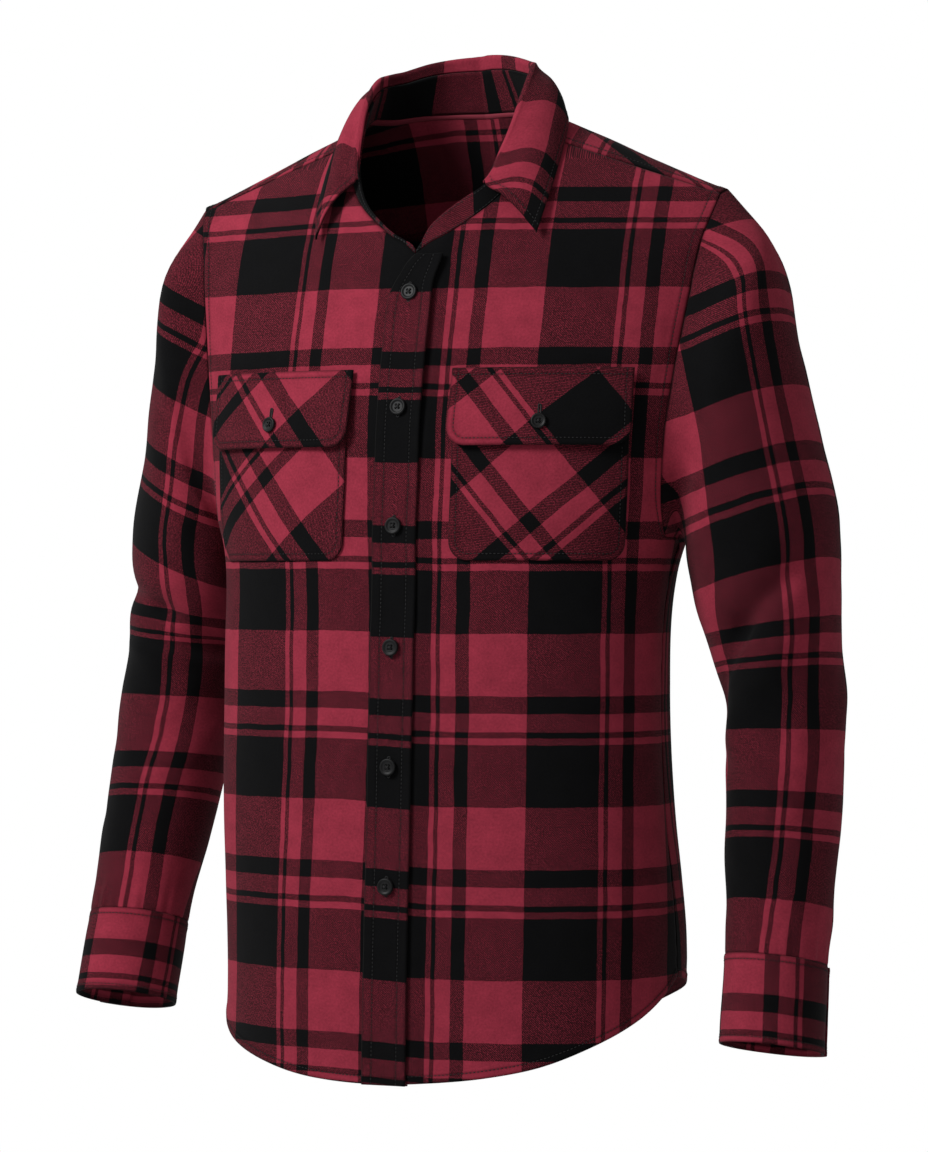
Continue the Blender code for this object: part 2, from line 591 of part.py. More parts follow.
def build_walls(cloths):
    """Every panel as a closed wall. Where panels share a seam, they share its slope too, and stand a gap apart."""
    for c in cloths:
        c["normal"] = normals_of(c["grid"], c["closed"]) * c["out"]
        c["mask"] = border_mask(c["grid"], c["closed"])
    points = np.concatenate([c["grid"][c["mask"]] for c in cloths])
    normals = np.concatenate([c["normal"][c["mask"]] for c in cloths])
    near = np.linalg.norm(points[:, None] - points[None, :], axis=-1) < 0.05
    mean = near.astype(float) @ normals
    mean /= np.linalg.norm(mean, axis=1, keepdims=True)
    least = np.array([np.min(normals[row] @ m) for row, m in zip(near, mean)])
    slopes = mean / np.maximum(least, 0.62)[:, None]
    start = 0
    for c in cloths:
        grid, closed = c["grid"].copy(), c["closed"]
        depth = c["normal"].copy()
        size = int(c["mask"].sum())
        depth[c["mask"]] = slopes[start:start + size]
        start += size
        shift = np.zeros_like(grid)
        half = SEAM / 2 + (0.15 if c["name"] == "collar_stand" else 0.03)
        for edge, inner in ((0, 1), (-1, -2)):
            step = grid[inner] - grid[edge]
            shift[edge] += half * step / np.linalg.norm(step, axis=-1, keepdims=True)
            if not closed:
                step = grid[:, inner] - grid[:, edge]
                shift[:, edge] += half * step / np.linalg.norm(step, axis=-1, keepdims=True)
        outer = grid + shift
        inside = outer - depth * c["wall"]
        rows, cols = grid.shape[:2]
        count = rows * cols
        ids = np.arange(count).reshape(rows, cols)
        right = np.roll(ids, -1, axis=1) if closed else ids[:, 1:]
        left = ids if closed else ids[:, :-1]
        faces = []
        a, b, c2, d = left[:-1], right[:-1], right[1:], left[1:]
        faces += np.stack([a, b, c2, d], -1).reshape(-1, 4).tolist()
        faces += (np.stack([a, d, c2, b], -1).reshape(-1, 4) + count).tolist()
        for row, turn in ((0, 1), (-1, 0)):
            p, q = left[row], right[row]
            if turn:
                p, q = q, p
            faces += np.stack([p, q, q + count, p + count], -1).tolist()
        if not closed:
            for col, turn in ((0, 0), (-1, 1)):
                p, q = ids[:-1, col], ids[1:, col]
                if turn:
                    p, q = q, p
                faces += np.stack([p, q, q + count, p + count], -1).tolist()
        make(c["name"], np.concatenate([outer.reshape(-1, 3), inside.reshape(-1, 3)]), faces)


# ---- collar ----
STAND = np.array([
    # mm from the stand's front end, height left and right, lean to the outside left and right, lean backwards
    (0, 3, 3, 0.00, 0.00, 0.25),
    (9, 11, 3, -0.06, 0.00, 0.27),
    (22, 17.5, 3.2, -0.12, 0.00, 0.28),
    (42, 21, 4, -0.12, 0.00, 0.26),
    (66, 19, 6, -0.14, -0.05, 0.16),
    (92, 24, 14, -0.36, -0.25, 0.00),
    (128, 27, 24, -0.48, -0.50, -0.20),
    (174, 29.5, 25.5, -0.36, -0.46, -0.34),
    (200, 33, 30, -0.38, -0.44, -0.34),
    (226, 35, 33.5, -0.36, -0.36, -0.34),
    (256, 36, 35, -0.20, -0.20, -0.34),
    (288, 35, 35, 0.00, 0.00, -0.34),
], float)
STAND_ROWS = 3
LEAF_FROM_LEFT, LEAF_FROM_RIGHT = 66.0, 84.0  # where the leaf starts, from the stand's front ends
ROLL_RISE = np.array([
    # share of the way from the leaf's front end to the middle of the back, rise of the roll over the stand
    (0, 4), (0.2, 7), (0.4, 9), (0.7, 11), (1, 13),
], float)
# The leaf's outer edge from its tips to the middle of the back: the wearer's left, then the right.
LEAF_LEFT = np.array([
    # x, y, z
    (98, -71, -91.5), (101, -60.5, -71), (102.5, -40, -42), (102, -21, -17), (98, -2, 3), (80, 28, 7), (54, 55, 10), (0, 74, 13),
], float)
LEAF_RIGHT = np.array([
    # x, y, z
    (-93, -72, -91.5), (-96.5, -61.5, -71), (-98.5, -42, -42), (-98.5, -22, -16), (-95, -3, 6), (-78, 28, 9.5), (-53, 55, 11), (0, 74, 13),
], float)
LEAF_COLS = 34


def neckline(fronts, yokes):
    """The whole neckline from the right front's end round the back to the left front's end."""
    first = LOW_ROWS + EDGE_ROWS
    left = np.concatenate([fronts[1][first:, 0], yokes[1][1:, 0]])
    right = np.concatenate([fronts[-1][first:, 0], yokes[-1][1:, 0]])
    return np.concatenate([right, left[::-1][1:]])


def length_from_ends(curve):
    run = np.r_[0, np.cumsum(np.linalg.norm(np.diff(curve, axis=0), axis=1))]
    return np.minimum(run, run[-1] - run)


def stand_grid(neck):
    e = length_from_ends(neck)
    row = smooth(e, STAND[:, 0], STAND[:, 1:])
    left = neck[:, 0] > 0
    height = np.where(left, row[:, 0], row[:, 1])
    side = np.sign(neck[:, 0])
    side[np.abs(neck[:, 0]) < 0.5] = 0
    up = np.stack([side * np.where(left, row[:, 2], row[:, 3]), row[:, 4], np.ones(len(e))], -1)
    up /= np.linalg.norm(up, axis=1, keepdims=True)
    return np.array([neck + up * height[:, None] * w for w in np.linspace(0, 1, STAND_ROWS + 1)])


def leaf_grid(stand):
    """Up from the stand's top edge, over the roll and down to the outer edge."""
    top = stand[-1]
    e = np.r_[0, np.cumsum(np.linalg.norm(np.diff(stand[0], axis=0), axis=1))]
    q = np.linspace(-1, 1, LEAF_COLS + 1)
    where = np.interp((q + 1) / 2, [0, 1], [LEAF_FROM_RIGHT, e[-1] - LEAF_FROM_LEFT])
    base = np.stack([np.interp(where, e, top[:, i]) for i in range(3)], -1)
    share = 1 - np.abs(q)
    k = share * (len(LEAF_LEFT) - 1)
    steps = np.arange(len(LEAF_LEFT))
    edge = np.where(q[:, None] < 0, smooth(k, steps, LEAF_RIGHT), smooth(k, steps, LEAF_LEFT))
    roll = base + np.array([0, 0, 1.0]) * smooth(share, ROLL_RISE[:, 0], ROLL_RISE[:, 1])[:, None]
    tangent = np.gradient(base, axis=0)
    out = np.stack([tangent[:, 1], -tangent[:, 0], np.zeros(len(q))], -1)
    out /= np.linalg.norm(out, axis=1, keepdims=True)
    out *= np.sign(np.sum(out[:, :2] * base[:, :2], axis=1))[:, None]
    roll = roll + 1.7 * out
    base = base + np.array([0, 0, SEAM + 0.8]) + 0.2 * out
    rise = roll[:, 2:] - base[:, 2:]
    up = np.array([0, 0, 1.0])
    bend = np.minimum(rise * 0.45, 3.2)
    inner = roll - out * 2.6 - up * bend
    outer = roll + out * 3.4 - up * 3.2
    rows = [base, (base + inner) / 2, inner, roll - out * 1.5 - up * bend * 0.25, roll + out * 1.3 - up * 0.3, outer]
    for w, bow in ((0.3, 3.8), (0.62, 3.9), (1.0, 0.0)):
        rows.append(outer + (edge - outer) * w + (out + up * 0.6) * bow)
    return np.array(rows)


def main():
    fronts = {s: front_grid(s) for s in (1, -1)}
    backs = {s: back_half(s) for s in (1, -1)}
    yokes = {s: yoke_half(s, fronts[s] if s < 0 else body_front(s), backs[s]) for s in (1, -1)}
    back = np.concatenate([backs[-1][:, ::-1], backs[1][:, 1:]], axis=1)
    yoke = np.concatenate([yokes[-1], yokes[1][::-1][1:]])
    loops = {s: armhole_loop(fronts[s], yokes[s], backs[s]) for s in (1, -1)}
    sleeves = {s: sleeve_grid(s, loops[s]) for s in (1, -1)}
    neck = neckline(fronts, yokes)
    stand = stand_grid(neck)
    leaf = leaf_grid(stand)

    def cloth(name, grid, wall=WALL, closed=False, out=1):
        return {"name": name, "grid": grid, "wall": wall, "closed": closed, "out": out}

    cloths = [
        cloth("front_left", fronts[1], out=1),
        cloth("front_right", fronts[-1], out=-1),
        cloth("back", back, out=-1),
        cloth("yoke", yoke, out=1),
        cloth("sleeve_left", sleeves[1], closed=True, out=1),
        cloth("sleeve_right", sleeves[-1], closed=True, out=-1),
        cloth("cuff_left", cuff_grid(1), CUFF_WALL, out=1),
        cloth("cuff_right", cuff_grid(-1), CUFF_WALL, out=-1),
        cloth("collar_stand", stand, COLLAR_WALL, out=1),
        cloth("collar_leaf", leaf, COLLAR_WALL, out=1),
        cloth("placket", placket_grid(fronts[1])),
        cloth("pocket_left", pocket_grid(fronts[1])),
        cloth("pocket_right", pocket_grid(fronts[-1])),
        cloth("flap_left", flap_grid(fronts[1])),
        cloth("flap_right", flap_grid(fronts[-1])),
    ]
    for c in cloths:
        n = normals_of(c["grid"], c["closed"])
        centre = c["grid"].reshape(-1, 3).mean(axis=0)
        if not c["name"].startswith(("sleeve", "cuff")):
            centre = np.array([0.0, -10.0, min(centre[2], -60.0)])
        if c["name"] == "collar_leaf":
            n, facing = n[-3:], c["grid"][-3:] - centre
        elif c["name"].startswith(("sleeve", "cuff")):
            facing = c["grid"] - c["grid"].mean(axis=1, keepdims=True)
        else:
            facing = c["grid"] - centre
        c["out"] = 1 if np.sum(n * facing) > 0 else -1
    build_walls(cloths)

    for i, z in enumerate(BUTTON_Z):
        lift = 2 * (WALL + LIFT)
        low, high = (front_strip(fronts[1], np.array([[0.0]]), np.array([z]), np.array([[h]]))[0, 0] for h in (lift - WALL, lift - WALL + 1))
        turned(f"button_{i + 1}", low + (high - low) * (SEAM + 0.16), high - low, BUTTON_R, BUTTON_T)
    middle = (POCKET_IN + POCKET_OUT) / 2
    for side, word in ((1, "left"), (-1, "right")):
        z = FLAP_TOP - (FLAP_TOP - FLAP_BOTTOM) * 0.70
        down = ease((FLAP_TOP - z) / (FLAP_TOP - FLAP_BOTTOM))
        lift = 2 * (WALL + LIFT) + 1.0 + down * 3.2
        low, high = (front_strip(fronts[side], np.array([[middle]]), np.array([z]), np.array([[h]]))[0, 0] for h in (lift, lift + 1))
        turned(f"flap_button_{word}", low + (high - low) * (SEAM + 0.3), high - low, FLAP_BUTTON_R, BUTTON_T)
        cuff = cuff_grid(side)
        mid = (cuff[1] + cuff[2]) / 2
        at = (mid[-3] + mid[-2]) / 2
        n = np.cross(mid[-1] - mid[-4], cuff[-1, -3] - cuff[0, -3])
        ring = mid.mean(axis=0)
        if np.dot(n, at - ring) < 0:
            n = -n
        n /= np.linalg.norm(n)
        turned(f"cuff_button_{word}", at + n * (SEAM + 0.25), n, BUTTON_R * 0.9, BUTTON_T)


def body_front(side):
    """The left front before it is lifted over the right one, for the yoke that it meets."""
    p = front_params(side)
    return body(side, -1, p[..., 0], p[..., 1])


main()
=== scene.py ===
# %% [markdown]
# # A checked flannel shirt, filled out as if worn
#
# The real shirt is cut from brushed cotton twill: two fronts, a back, a shoulder yoke, two sleeves with
# cuffs, a two-piece collar, a placket, and two pockets with flaps cut on the bias. Here each of those
# pieces is one open surface, worked out with numpy from the garment's own sizes, and a Solidify modifier
# gives it the cloth's thickness. The weave is a material that reads each piece's own cloth coordinates,
# so that the checks follow the grain of the cloth and turn where a piece is cut on the bias.
#
# All sizes are in millimetres: +Z is up, the front faces -Y, and +X is the wearer's left.

import bpy
import numpy as np
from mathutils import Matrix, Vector

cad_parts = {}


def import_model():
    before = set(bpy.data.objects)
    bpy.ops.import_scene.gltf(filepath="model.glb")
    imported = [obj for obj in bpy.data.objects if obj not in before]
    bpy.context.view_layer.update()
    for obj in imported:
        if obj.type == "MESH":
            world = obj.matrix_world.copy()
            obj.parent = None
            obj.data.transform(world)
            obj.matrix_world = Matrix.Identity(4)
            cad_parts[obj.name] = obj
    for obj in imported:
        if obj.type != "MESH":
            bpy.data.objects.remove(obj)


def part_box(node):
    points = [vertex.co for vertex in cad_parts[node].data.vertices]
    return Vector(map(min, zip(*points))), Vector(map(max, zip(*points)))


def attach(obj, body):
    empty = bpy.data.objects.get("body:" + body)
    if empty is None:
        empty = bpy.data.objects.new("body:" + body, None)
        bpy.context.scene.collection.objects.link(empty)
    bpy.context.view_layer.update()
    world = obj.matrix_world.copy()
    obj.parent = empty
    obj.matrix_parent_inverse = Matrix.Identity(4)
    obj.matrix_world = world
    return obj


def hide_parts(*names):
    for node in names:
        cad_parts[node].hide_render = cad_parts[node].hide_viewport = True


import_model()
bpy.context.view_layer.update()

# %% [markdown]
# ## Curves through short tables
#
# A garment's shape comes from a few measured sections. `smooth` draws a curve through the rows of a table
# without ever swinging past them, and `spline` fills in a grid of points with a curve that also keeps its
# bend even.

# %% Curves
MM = 0.001


def smooth(at, knots, values):
    """Values at `at` on a monotone Hermite curve through the rows of a short table."""
    k, v = np.asarray(knots, float), np.asarray(values, float)
    if k[0] > k[-1]:
        k, v = k[::-1], v[::-1]
    more = (None,) * (v.ndim - 1)
    h = np.diff(k)
    d = np.diff(v, axis=0) / h[(slice(None),) + more]
    m = np.zeros_like(v)
    m[0], m[-1] = d[0], d[-1]
    left, right = h[:-1][(slice(None),) + more], h[1:][(slice(None),) + more]
    mean = (d[:-1] * right + d[1:] * left) / (left + right)
    least = 3 * np.minimum(np.abs(d[:-1]), np.abs(d[1:]))
    m[1:-1] = np.where(d[:-1] * d[1:] > 0, np.sign(mean) * np.minimum(np.abs(mean), least), 0)
    at = np.clip(np.asarray(at, float), k[0], k[-1])
    i = np.clip(np.searchsorted(k, at, side="right") - 1, 0, len(h) - 1)
    u = ((at - k[i]) / h[i])[(...,) + more]
    step = h[i][(...,) + more]
    return (
        v[i] * (2 * u**3 - 3 * u**2 + 1) + m[i] * step * (u**3 - 2 * u**2 + u)
        + v[i + 1] * (3 * u**2 - 2 * u**3) + m[i + 1] * step * (u**3 - u**2)
    )


def ease(t):
    """0 to 1 with no kink at either end."""
    t = np.clip(t, 0, 1)
    return t * t * (3 - 2 * t)


def spline_weights(at, count):
    """Weights that read a natural cubic spline through `count` even knots at the positions `at`."""
    bend = np.eye(count)
    second = np.zeros((count, count))
    for i in range(1, count - 1):
        bend[i, i - 1:i + 2] = 1, 4, 1
        second[i, i - 1:i + 2] = 6, -12, 6
    moment = np.linalg.solve(bend, second)
    at = np.clip(at, 0, count - 1)
    i = np.clip(np.floor(at).astype(int), 0, count - 2)
    u = (at - i)[:, None]
    knots = np.eye(count)
    return (
        (1 - u) * knots[i] + u * knots[i + 1]
        + ((1 - u) ** 3 - (1 - u)) / 6 * moment[i] + (u**3 - u) / 6 * moment[i + 1]
    )


def spline(grid, rows, cols):
    """The grid read at fractional row and column numbers, on a bicubic spline through its points."""
    by_row, by_col = spline_weights(rows, grid.shape[0]), spline_weights(cols, grid.shape[1])
    return np.einsum("ri,ijk,cj->rck", by_row, grid, by_col)


def run_along(points, axis):
    """Distance travelled over a grid of points along one axis, starting at 0."""
    step = np.linalg.norm(np.diff(points, axis=axis), axis=-1)
    start = np.zeros_like(np.take(step, [0], axis=axis))
    return np.concatenate([start, np.cumsum(step, axis=axis)], axis=axis)


def dense(points, axis, step, stations=(), close=1.2, border=11.0):
    """Fractional grid numbers `step` mm apart that keep the stations, and closer near both ends."""
    run = run_along(points, axis).mean(axis=1 - axis)
    marks = run[[0, *stations, len(run) - 1]]
    counts = [max(round((b - a) / step), 1) for a, b in zip(marks, marks[1:])]
    spans = zip(marks, marks[1:], counts)
    inner = np.concatenate([np.linspace(a, b, count, endpoint=False) for a, b, count in spans])
    rim = np.arange(0, border, close)
    inner = inner[(inner > rim[-1] + close / 2) & (inner < run[-1] - rim[-1] - close / 2)]
    at = np.r_[rim, inner, run[-1] - rim[::-1]]
    return np.interp(at, run, np.arange(len(run)))


def read_at(at, run, points):
    """The points of a line, read at the places `at`, where `run` gives each point's own place."""
    return np.stack([np.interp(at, run, points[:, i]) for i in range(3)], -1)


def look_up(table, first, last, at, kind):
    """Bilinear reading of table[i, j], whose rows and columns stand at even steps of first and last."""
    i = np.clip((at - first[0]) / (first[1] - first[0]), 0, len(first) - 1.001)
    j = np.clip((kind - last[0]) / (last[1] - last[0]), 0, len(last) - 1.001)
    a, b = np.floor(i).astype(int), np.floor(j).astype(int)
    u, w = i - a, j - b
    return (
        table[a, b] * (1 - u) * (1 - w) + table[a + 1, b] * u * (1 - w)
        + table[a, b + 1] * (1 - u) * w + table[a + 1, b + 1] * u * w
    )


print("a quarter of the way along an even rise of 10:", smooth(0.5, [0, 1, 2], [0.0, 5.0, 10.0]))

# %% [markdown]
# ## The body's form
#
# The filled-out body is one shape that the fronts, back and yoke share. Every level section is a
# superellipse, and above the underarm its depth falls along an arch until it meets the shoulder ridge. A
# point is named by an angle round the section and a height, which makes each panel a simple grid of
# angles and heights.

# %% Sizes of the body
Z_ARM = -335.0
ROUND = 2.5
ARCH_FRONT, ARCH_BACK = 1.6, 2.2
# The body's sections. half_l and half_r: from the middle to each side; y_side: where the side seam lies;
# front and back: depths from there to the middle of the front and of the back.
BODY = np.array([
    # z, half_l, half_r, y_side, front, back
    (-790, 191, 182, -6, 138, 108),
    (-755, 192, 182.5, -8, 135, 108),
    (-650, 193, 184, -12, 127, 103),
    (-600, 191, 184, -17, 119, 98),
    (-550, 187, 184.6, -20, 113, 95),
    (-500, 184.5, 184.6, -21, 110, 93),
    (-450, 183.5, 184.6, -20, 108, 92),
    (-400, 184, 185, -17, 108, 92),
    (-370, 186, 186, -12, 111, 90),
    (-350, 189, 188, -8, 114.5, 88),
    (-335, 193, 191, -5, 117.5, 88),
    (-317, 200, 197, -3, 119, 90),
    (-290, 206, 202, 0, 121, 93),
    (-247, 212, 208, 3, 126, 96),
    (-200, 219, 216, 6, 128, 98),
    (-135, 230, 229, 8, 129, 99),
    (-97, 238, 238, 8, 131, 100),
    (-56, 254, 254, 8, 131, 101),
    (20, 262, 262, 8, 131, 101),
    (60, 262, 262, 8, 131, 101),
], float)

# The shoulder ridge's height over x. Inside the neck hole it is only the curve that the fronts and the
# back lead to.
RIDGE = np.array([
    # x, z_front, z_back
    (0, 45, 64),
    (30, 38, 50),
    (55, 24, 28),
    (75, 12, 12),
    (100, 0, 0),
    (130, -13, -13),
    (160, -27, -27),
    (190, -40, -40),
    (228, -56, -56),
    (260, -68, -68),
], float)

# Hem heights from the middle to the side seam, as shares of the way.
HEM = np.array([
    # share, left front, right front, back
    (0.00, -757, -757, -760),
    (0.20, -754, -756, -754),
    (0.35, -749, -752, -737),
    (0.50, -740, -743, -716),
    (0.65, -724, -731, -700),
    (0.80, -705, -715, -688),
    (0.92, -688, -698, -680),
    (1.00, -677, -686, -677),
], float)

# Armhole seam: height, and angle round the body's section from the middle (90 is the side).
ARM_FRONT = np.array([
    # z, angle
    (-335, 90), (-333, 83.5), (-326, 77), (-309, 71.5), (-284, 68.2), (-255, 66.6), (-224, 65.7),
    (-193, 65.2), (-162, 64.8), (-132, 64.2), (-104, 63.2), (-80, 62), (-60, 60),
], float)
ARM_BACK = np.array([
    # z, angle
    (-335, 90), (-333, 84), (-325, 78), (-305, 73), (-272, 70), (-236, 69), (-200, 68.5),
    (-165, 68), (-135, 67.5), (-108, 66.5),
], float)

# Front neckline, from the middle to the yoke seam.
NECK_FRONT = np.array([
    # x, z
    (1, -106), (20, -93.5), (39, -80.5), (56, -66), (69, -48), (76.5, -27), (78, -8),
], float)
NECK_BACK = np.array([
    # x, z
    (78, -8), (77.5, 2), (75.8, 11.2), (72, 12.6), (66, 13.2),
    (58, 14.9), (48, 16.6), (36, 17.5), (20, 18), (0, 18),
], float)
NECK_BACK_Z = 18.0

YOKE_DROP = np.array([
    # x, fall of the front yoke seam below the ridge
    (80, 18), (120, 15), (165, 10), (228, 5),
], float)
YOKE_BACK_Z = -80.0
SHOULDER_TIP = 228.5  # x where the armhole crosses the ridge

FRONT_COLS = 16
EDGE_ROWS = 6  # upper rows whose first column runs up the free edge; the rest run along the neckline
LOW_ROWS = 10
BACK_COLS = 12
YOKE_ARM = 4

EDGE_LAP = 18.6  # half of the 37 mm placket: how far each front passes the middle
LAP_RISE = 2.7  # the left front lies this far over the right one
FREE_EDGE = np.array([
    # z, lean of the left front's free edge back to the wearer's left, and of the right front's to the right
    (-800, 0, 0), (-155, 0, 0), (-142, 0.5, 2), (-130, 5, 8), (-118, 12, 14),
    (-106, 19.6, 19.6), (-60, 19.6, 19.6),
], float)
SIDES = ((1, "left"), (-1, "right"))
chest = BODY[BODY[:, 0] == Z_ARM][0]
print("chest:", chest[1] + chest[2], "mm wide and", chest[4] + chest[5], "mm deep")


# %% Points on the body
def half_width(side, z):
    """From the middle to the side seam at a height."""
    return smooth(z, BODY[:, 0], BODY[:, 1 if side > 0 else 2])


def arch(face, x, z):
    """How much of the full depth is left at this height, 1 below the underarm and 0 on the ridge."""
    top = smooth(np.abs(x), RIDGE[:, 0], RIDGE[:, 1 if face < 0 else 2])
    t = np.clip((z - Z_ARM) / (top - Z_ARM), 0, 1)
    n = ARCH_FRONT if face < 0 else ARCH_BACK
    return (1 - t**n) ** (1 / n)


def body(side, face, angle, z):
    """The point at an angle from the middle of the front (face -1) or back (face 1) towards this side."""
    angle, z = np.broadcast_arrays(np.asarray(angle, float), np.asarray(z, float))
    a = np.radians(angle)
    x = side * half_width(side, z) * np.sign(np.sin(a)) * np.abs(np.sin(a)) ** (2 / ROUND)
    deep = smooth(z, BODY[:, 0], BODY[:, 4 if face < 0 else 5])
    y = smooth(z, BODY[:, 0], BODY[:, 3]) + face * deep * np.abs(np.cos(a)) ** (2 / ROUND) * arch(face, x, z)
    return np.stack([x, y, z], -1)


def angle_of(side, x, z):
    """The angle whose point on the body has this x."""
    share = np.clip(side * np.asarray(x, float) / half_width(side, z), -1, 1)
    return np.degrees(np.arcsin(np.sign(share) * np.abs(share) ** (ROUND / 2)))


def over_ridge(side, x, psi):
    """The body's point over the shoulder: psi is 0 on the ridge, below 0 in front and above 0 behind."""
    x, psi = np.broadcast_arrays(np.asarray(x, float), np.radians(np.asarray(psi, float)))
    back = psi > 0
    n = np.where(back, ARCH_BACK, ARCH_FRONT)
    top = np.where(back, smooth(x, RIDGE[:, 0], RIDGE[:, 2]), smooth(x, RIDGE[:, 0], RIDGE[:, 1]))
    z = Z_ARM + (top - Z_ARM) * np.abs(np.cos(psi)) ** (2 / n)
    deep = np.where(back, smooth(z, BODY[:, 0], BODY[:, 5]), smooth(z, BODY[:, 0], BODY[:, 4]))
    across = (1 - np.clip(x / half_width(side, z), 0, 1) ** ROUND) ** (1 / ROUND)
    y = smooth(z, BODY[:, 0], BODY[:, 3]) + np.sign(psi) * deep * across * np.abs(np.sin(psi)) ** (2 / n)
    return np.stack([side * x, y, z], -1)


def psi_of(face, x, z):
    """The shoulder's psi at an x and a height."""
    top = smooth(np.abs(x), RIDGE[:, 0], RIDGE[:, 1 if face < 0 else 2])
    t = np.clip((z - Z_ARM) / (top - Z_ARM), 0, 1)
    n = ARCH_FRONT if face < 0 else ARCH_BACK
    return face * np.degrees(np.arccos(t ** (n / 2)))


chest_front, chest_back = (body(1, face, 0, Z_ARM)[1] for face in (-1, 1))
print(f"middle of the chest from y = {chest_front:.0f} to y = {chest_back:.0f} mm")

# %% [markdown]
# ## Grids of the panels
#
# A panel is cut between four edges: for a front they are the hem side, the shoulder seam, the free edge
# with the neckline, and the side seam with the armhole. A Coons patch fills a grid between four such
# edges by adding the blend of one pair to the blend of the other and taking away what both count twice.
# The straight lower part is easier: each row goes from the hem towards the underarm, parted evenly.

# %% Grids between four edges
def coons(bottom, top, first, last):
    """A grid of (a, b) pairs between four edges: rows go from bottom to top, columns from first to last."""
    s = np.linspace(0, 1, len(bottom))[None, :, None]
    w = np.linspace(0, 1, len(first))[:, None, None]
    return (
        (1 - w) * bottom[None] + w * top[None] + (1 - s) * first[:, None] + s * last[:, None]
        - (1 - s) * (1 - w) * bottom[0] - s * (1 - w) * bottom[-1] - (1 - s) * w * top[0] - s * w * top[-1]
    )


def even_angles(side, face, first, last, z, count):
    """Angles that part one section of the body into even lengths."""
    a = np.linspace(first, last, 241)
    p = body(side, face, a, z)
    run = np.r_[0, np.cumsum(np.linalg.norm(np.diff(p, axis=0), axis=1))]
    return np.interp(np.linspace(0, run[-1], count + 1), run, a)


def free_edge_x(side, z):
    """Where a front's free edge runs, past the middle on the other side."""
    lean = smooth(z, FREE_EDGE[:, 0], FREE_EDGE[:, 1 if side > 0 else 2])
    return side * (lean - EDGE_LAP)


def along(table, count):
    """The table's rows resampled to count steps, evenly by row."""
    return smooth(np.linspace(0, len(table) - 1, count + 1), np.arange(len(table)), table)


# %% The fronts' grid
def front_params(side):
    """(angle, z) of a front panel's grid, hem row first, free edge column first."""
    shares = np.linspace(0, 1, FRONT_COLS + 1)
    hem = smooth(shares, HEM[:, 0], HEM[:, 1 if side > 0 else 2])
    edge_angle = angle_of(side, free_edge_x(side, Z_ARM), Z_ARM)
    bottom_angles = even_angles(side, -1, edge_angle, 90, Z_ARM, FRONT_COLS)
    low = []
    for step in np.linspace(0, 1, LOW_ROWS + 1)[:-1]:
        z = hem + (Z_ARM - hem) * step
        a = even_angles(side, -1, angle_of(side, free_edge_x(side, z[0]), z[0]), 90, np.mean(z), FRONT_COLS)
        low.append(np.stack([a, z], -1))
    arm = ARM_FRONT[:, ::-1]
    corner_z, corner_angle = ARM_FRONT[-1]
    corner_x = abs(body(side, -1, corner_angle, corner_z)[0])
    top_x = np.linspace(NECK_FRONT[-1, 0], corner_x, FRONT_COLS + 1)
    top_z = smooth(top_x, RIDGE[:, 0], RIDGE[:, 1]) - smooth(top_x, YOKE_DROP[:, 0], YOKE_DROP[:, 1])
    top_z += (corner_z - top_z[-1]) * ease((top_x - 150) / (corner_x - 150))
    top_z += (NECK_FRONT[-1, 1] - top_z[0]) * ease((110 - top_x) / 32)
    top = np.stack([angle_of(side, side * top_x, top_z), top_z], -1)
    bottom = np.stack([bottom_angles, np.full(FRONT_COLS + 1, Z_ARM)], -1)
    edge_z = np.linspace(Z_ARM, NECK_FRONT[0, 1], EDGE_ROWS + 1)
    edge_x = side * free_edge_x(side, edge_z)
    neck = along(NECK_FRONT, len(arm) - 1 - EDGE_ROWS)[1:]
    first_x, first_z = np.r_[edge_x, neck[:, 0]], np.r_[edge_z, neck[:, 1]]
    first = np.stack([angle_of(side, side * first_x, first_z), first_z], -1)
    return np.concatenate([np.array(low), coons(bottom, top, first, arm)])


def raised(side, points):
    """The left front is lifted where it laps over the right one."""
    if side < 0:
        return points
    rise = LAP_RISE * ease((EDGE_LAP + 16 - points[..., 0]) / 14)
    out = points.copy()
    out[..., 1] -= rise
    return out


print("front grid before it is filled in:", front_params(1).shape[:2])


# %% The back's and the yoke's grids
def back_params(side):
    """(angle, z) of half the back's grid, hem row first, middle column first."""
    shares = np.linspace(0, 1, BACK_COLS + 1)
    hem = smooth(shares, HEM[:, 0], HEM[:, 3])
    side_z = HEM[-1, 1 if side > 0 else 2]
    hem = hem + (side_z - HEM[-1, 3]) * shares**3
    low = []
    for step in np.linspace(0, 1, LOW_ROWS + 1)[:-1]:
        z = hem + (Z_ARM - hem) * step
        low.append(np.stack([even_angles(side, 1, 0, 90, np.mean(z), BACK_COLS), z], -1))
    bottom = np.stack([even_angles(side, 1, 0, 90, Z_ARM, BACK_COLS), np.full(BACK_COLS + 1, Z_ARM)], -1)
    arm = ARM_BACK[:, ::-1]
    corner_z, corner_angle = ARM_BACK[-1]
    corner_x = abs(body(side, 1, corner_angle, corner_z)[0])
    top_x = np.linspace(0, corner_x, BACK_COLS + 1)
    top_z = YOKE_BACK_Z + (corner_z - YOKE_BACK_Z) * (top_x / corner_x) ** 2
    top = np.stack([angle_of(side, side * top_x, top_z), top_z], -1)
    edge_z = np.linspace(Z_ARM, YOKE_BACK_Z, len(arm))
    first = np.stack([np.zeros(len(arm)), edge_z], -1)
    return np.concatenate([np.array(low), coons(bottom, top, first, arm)])


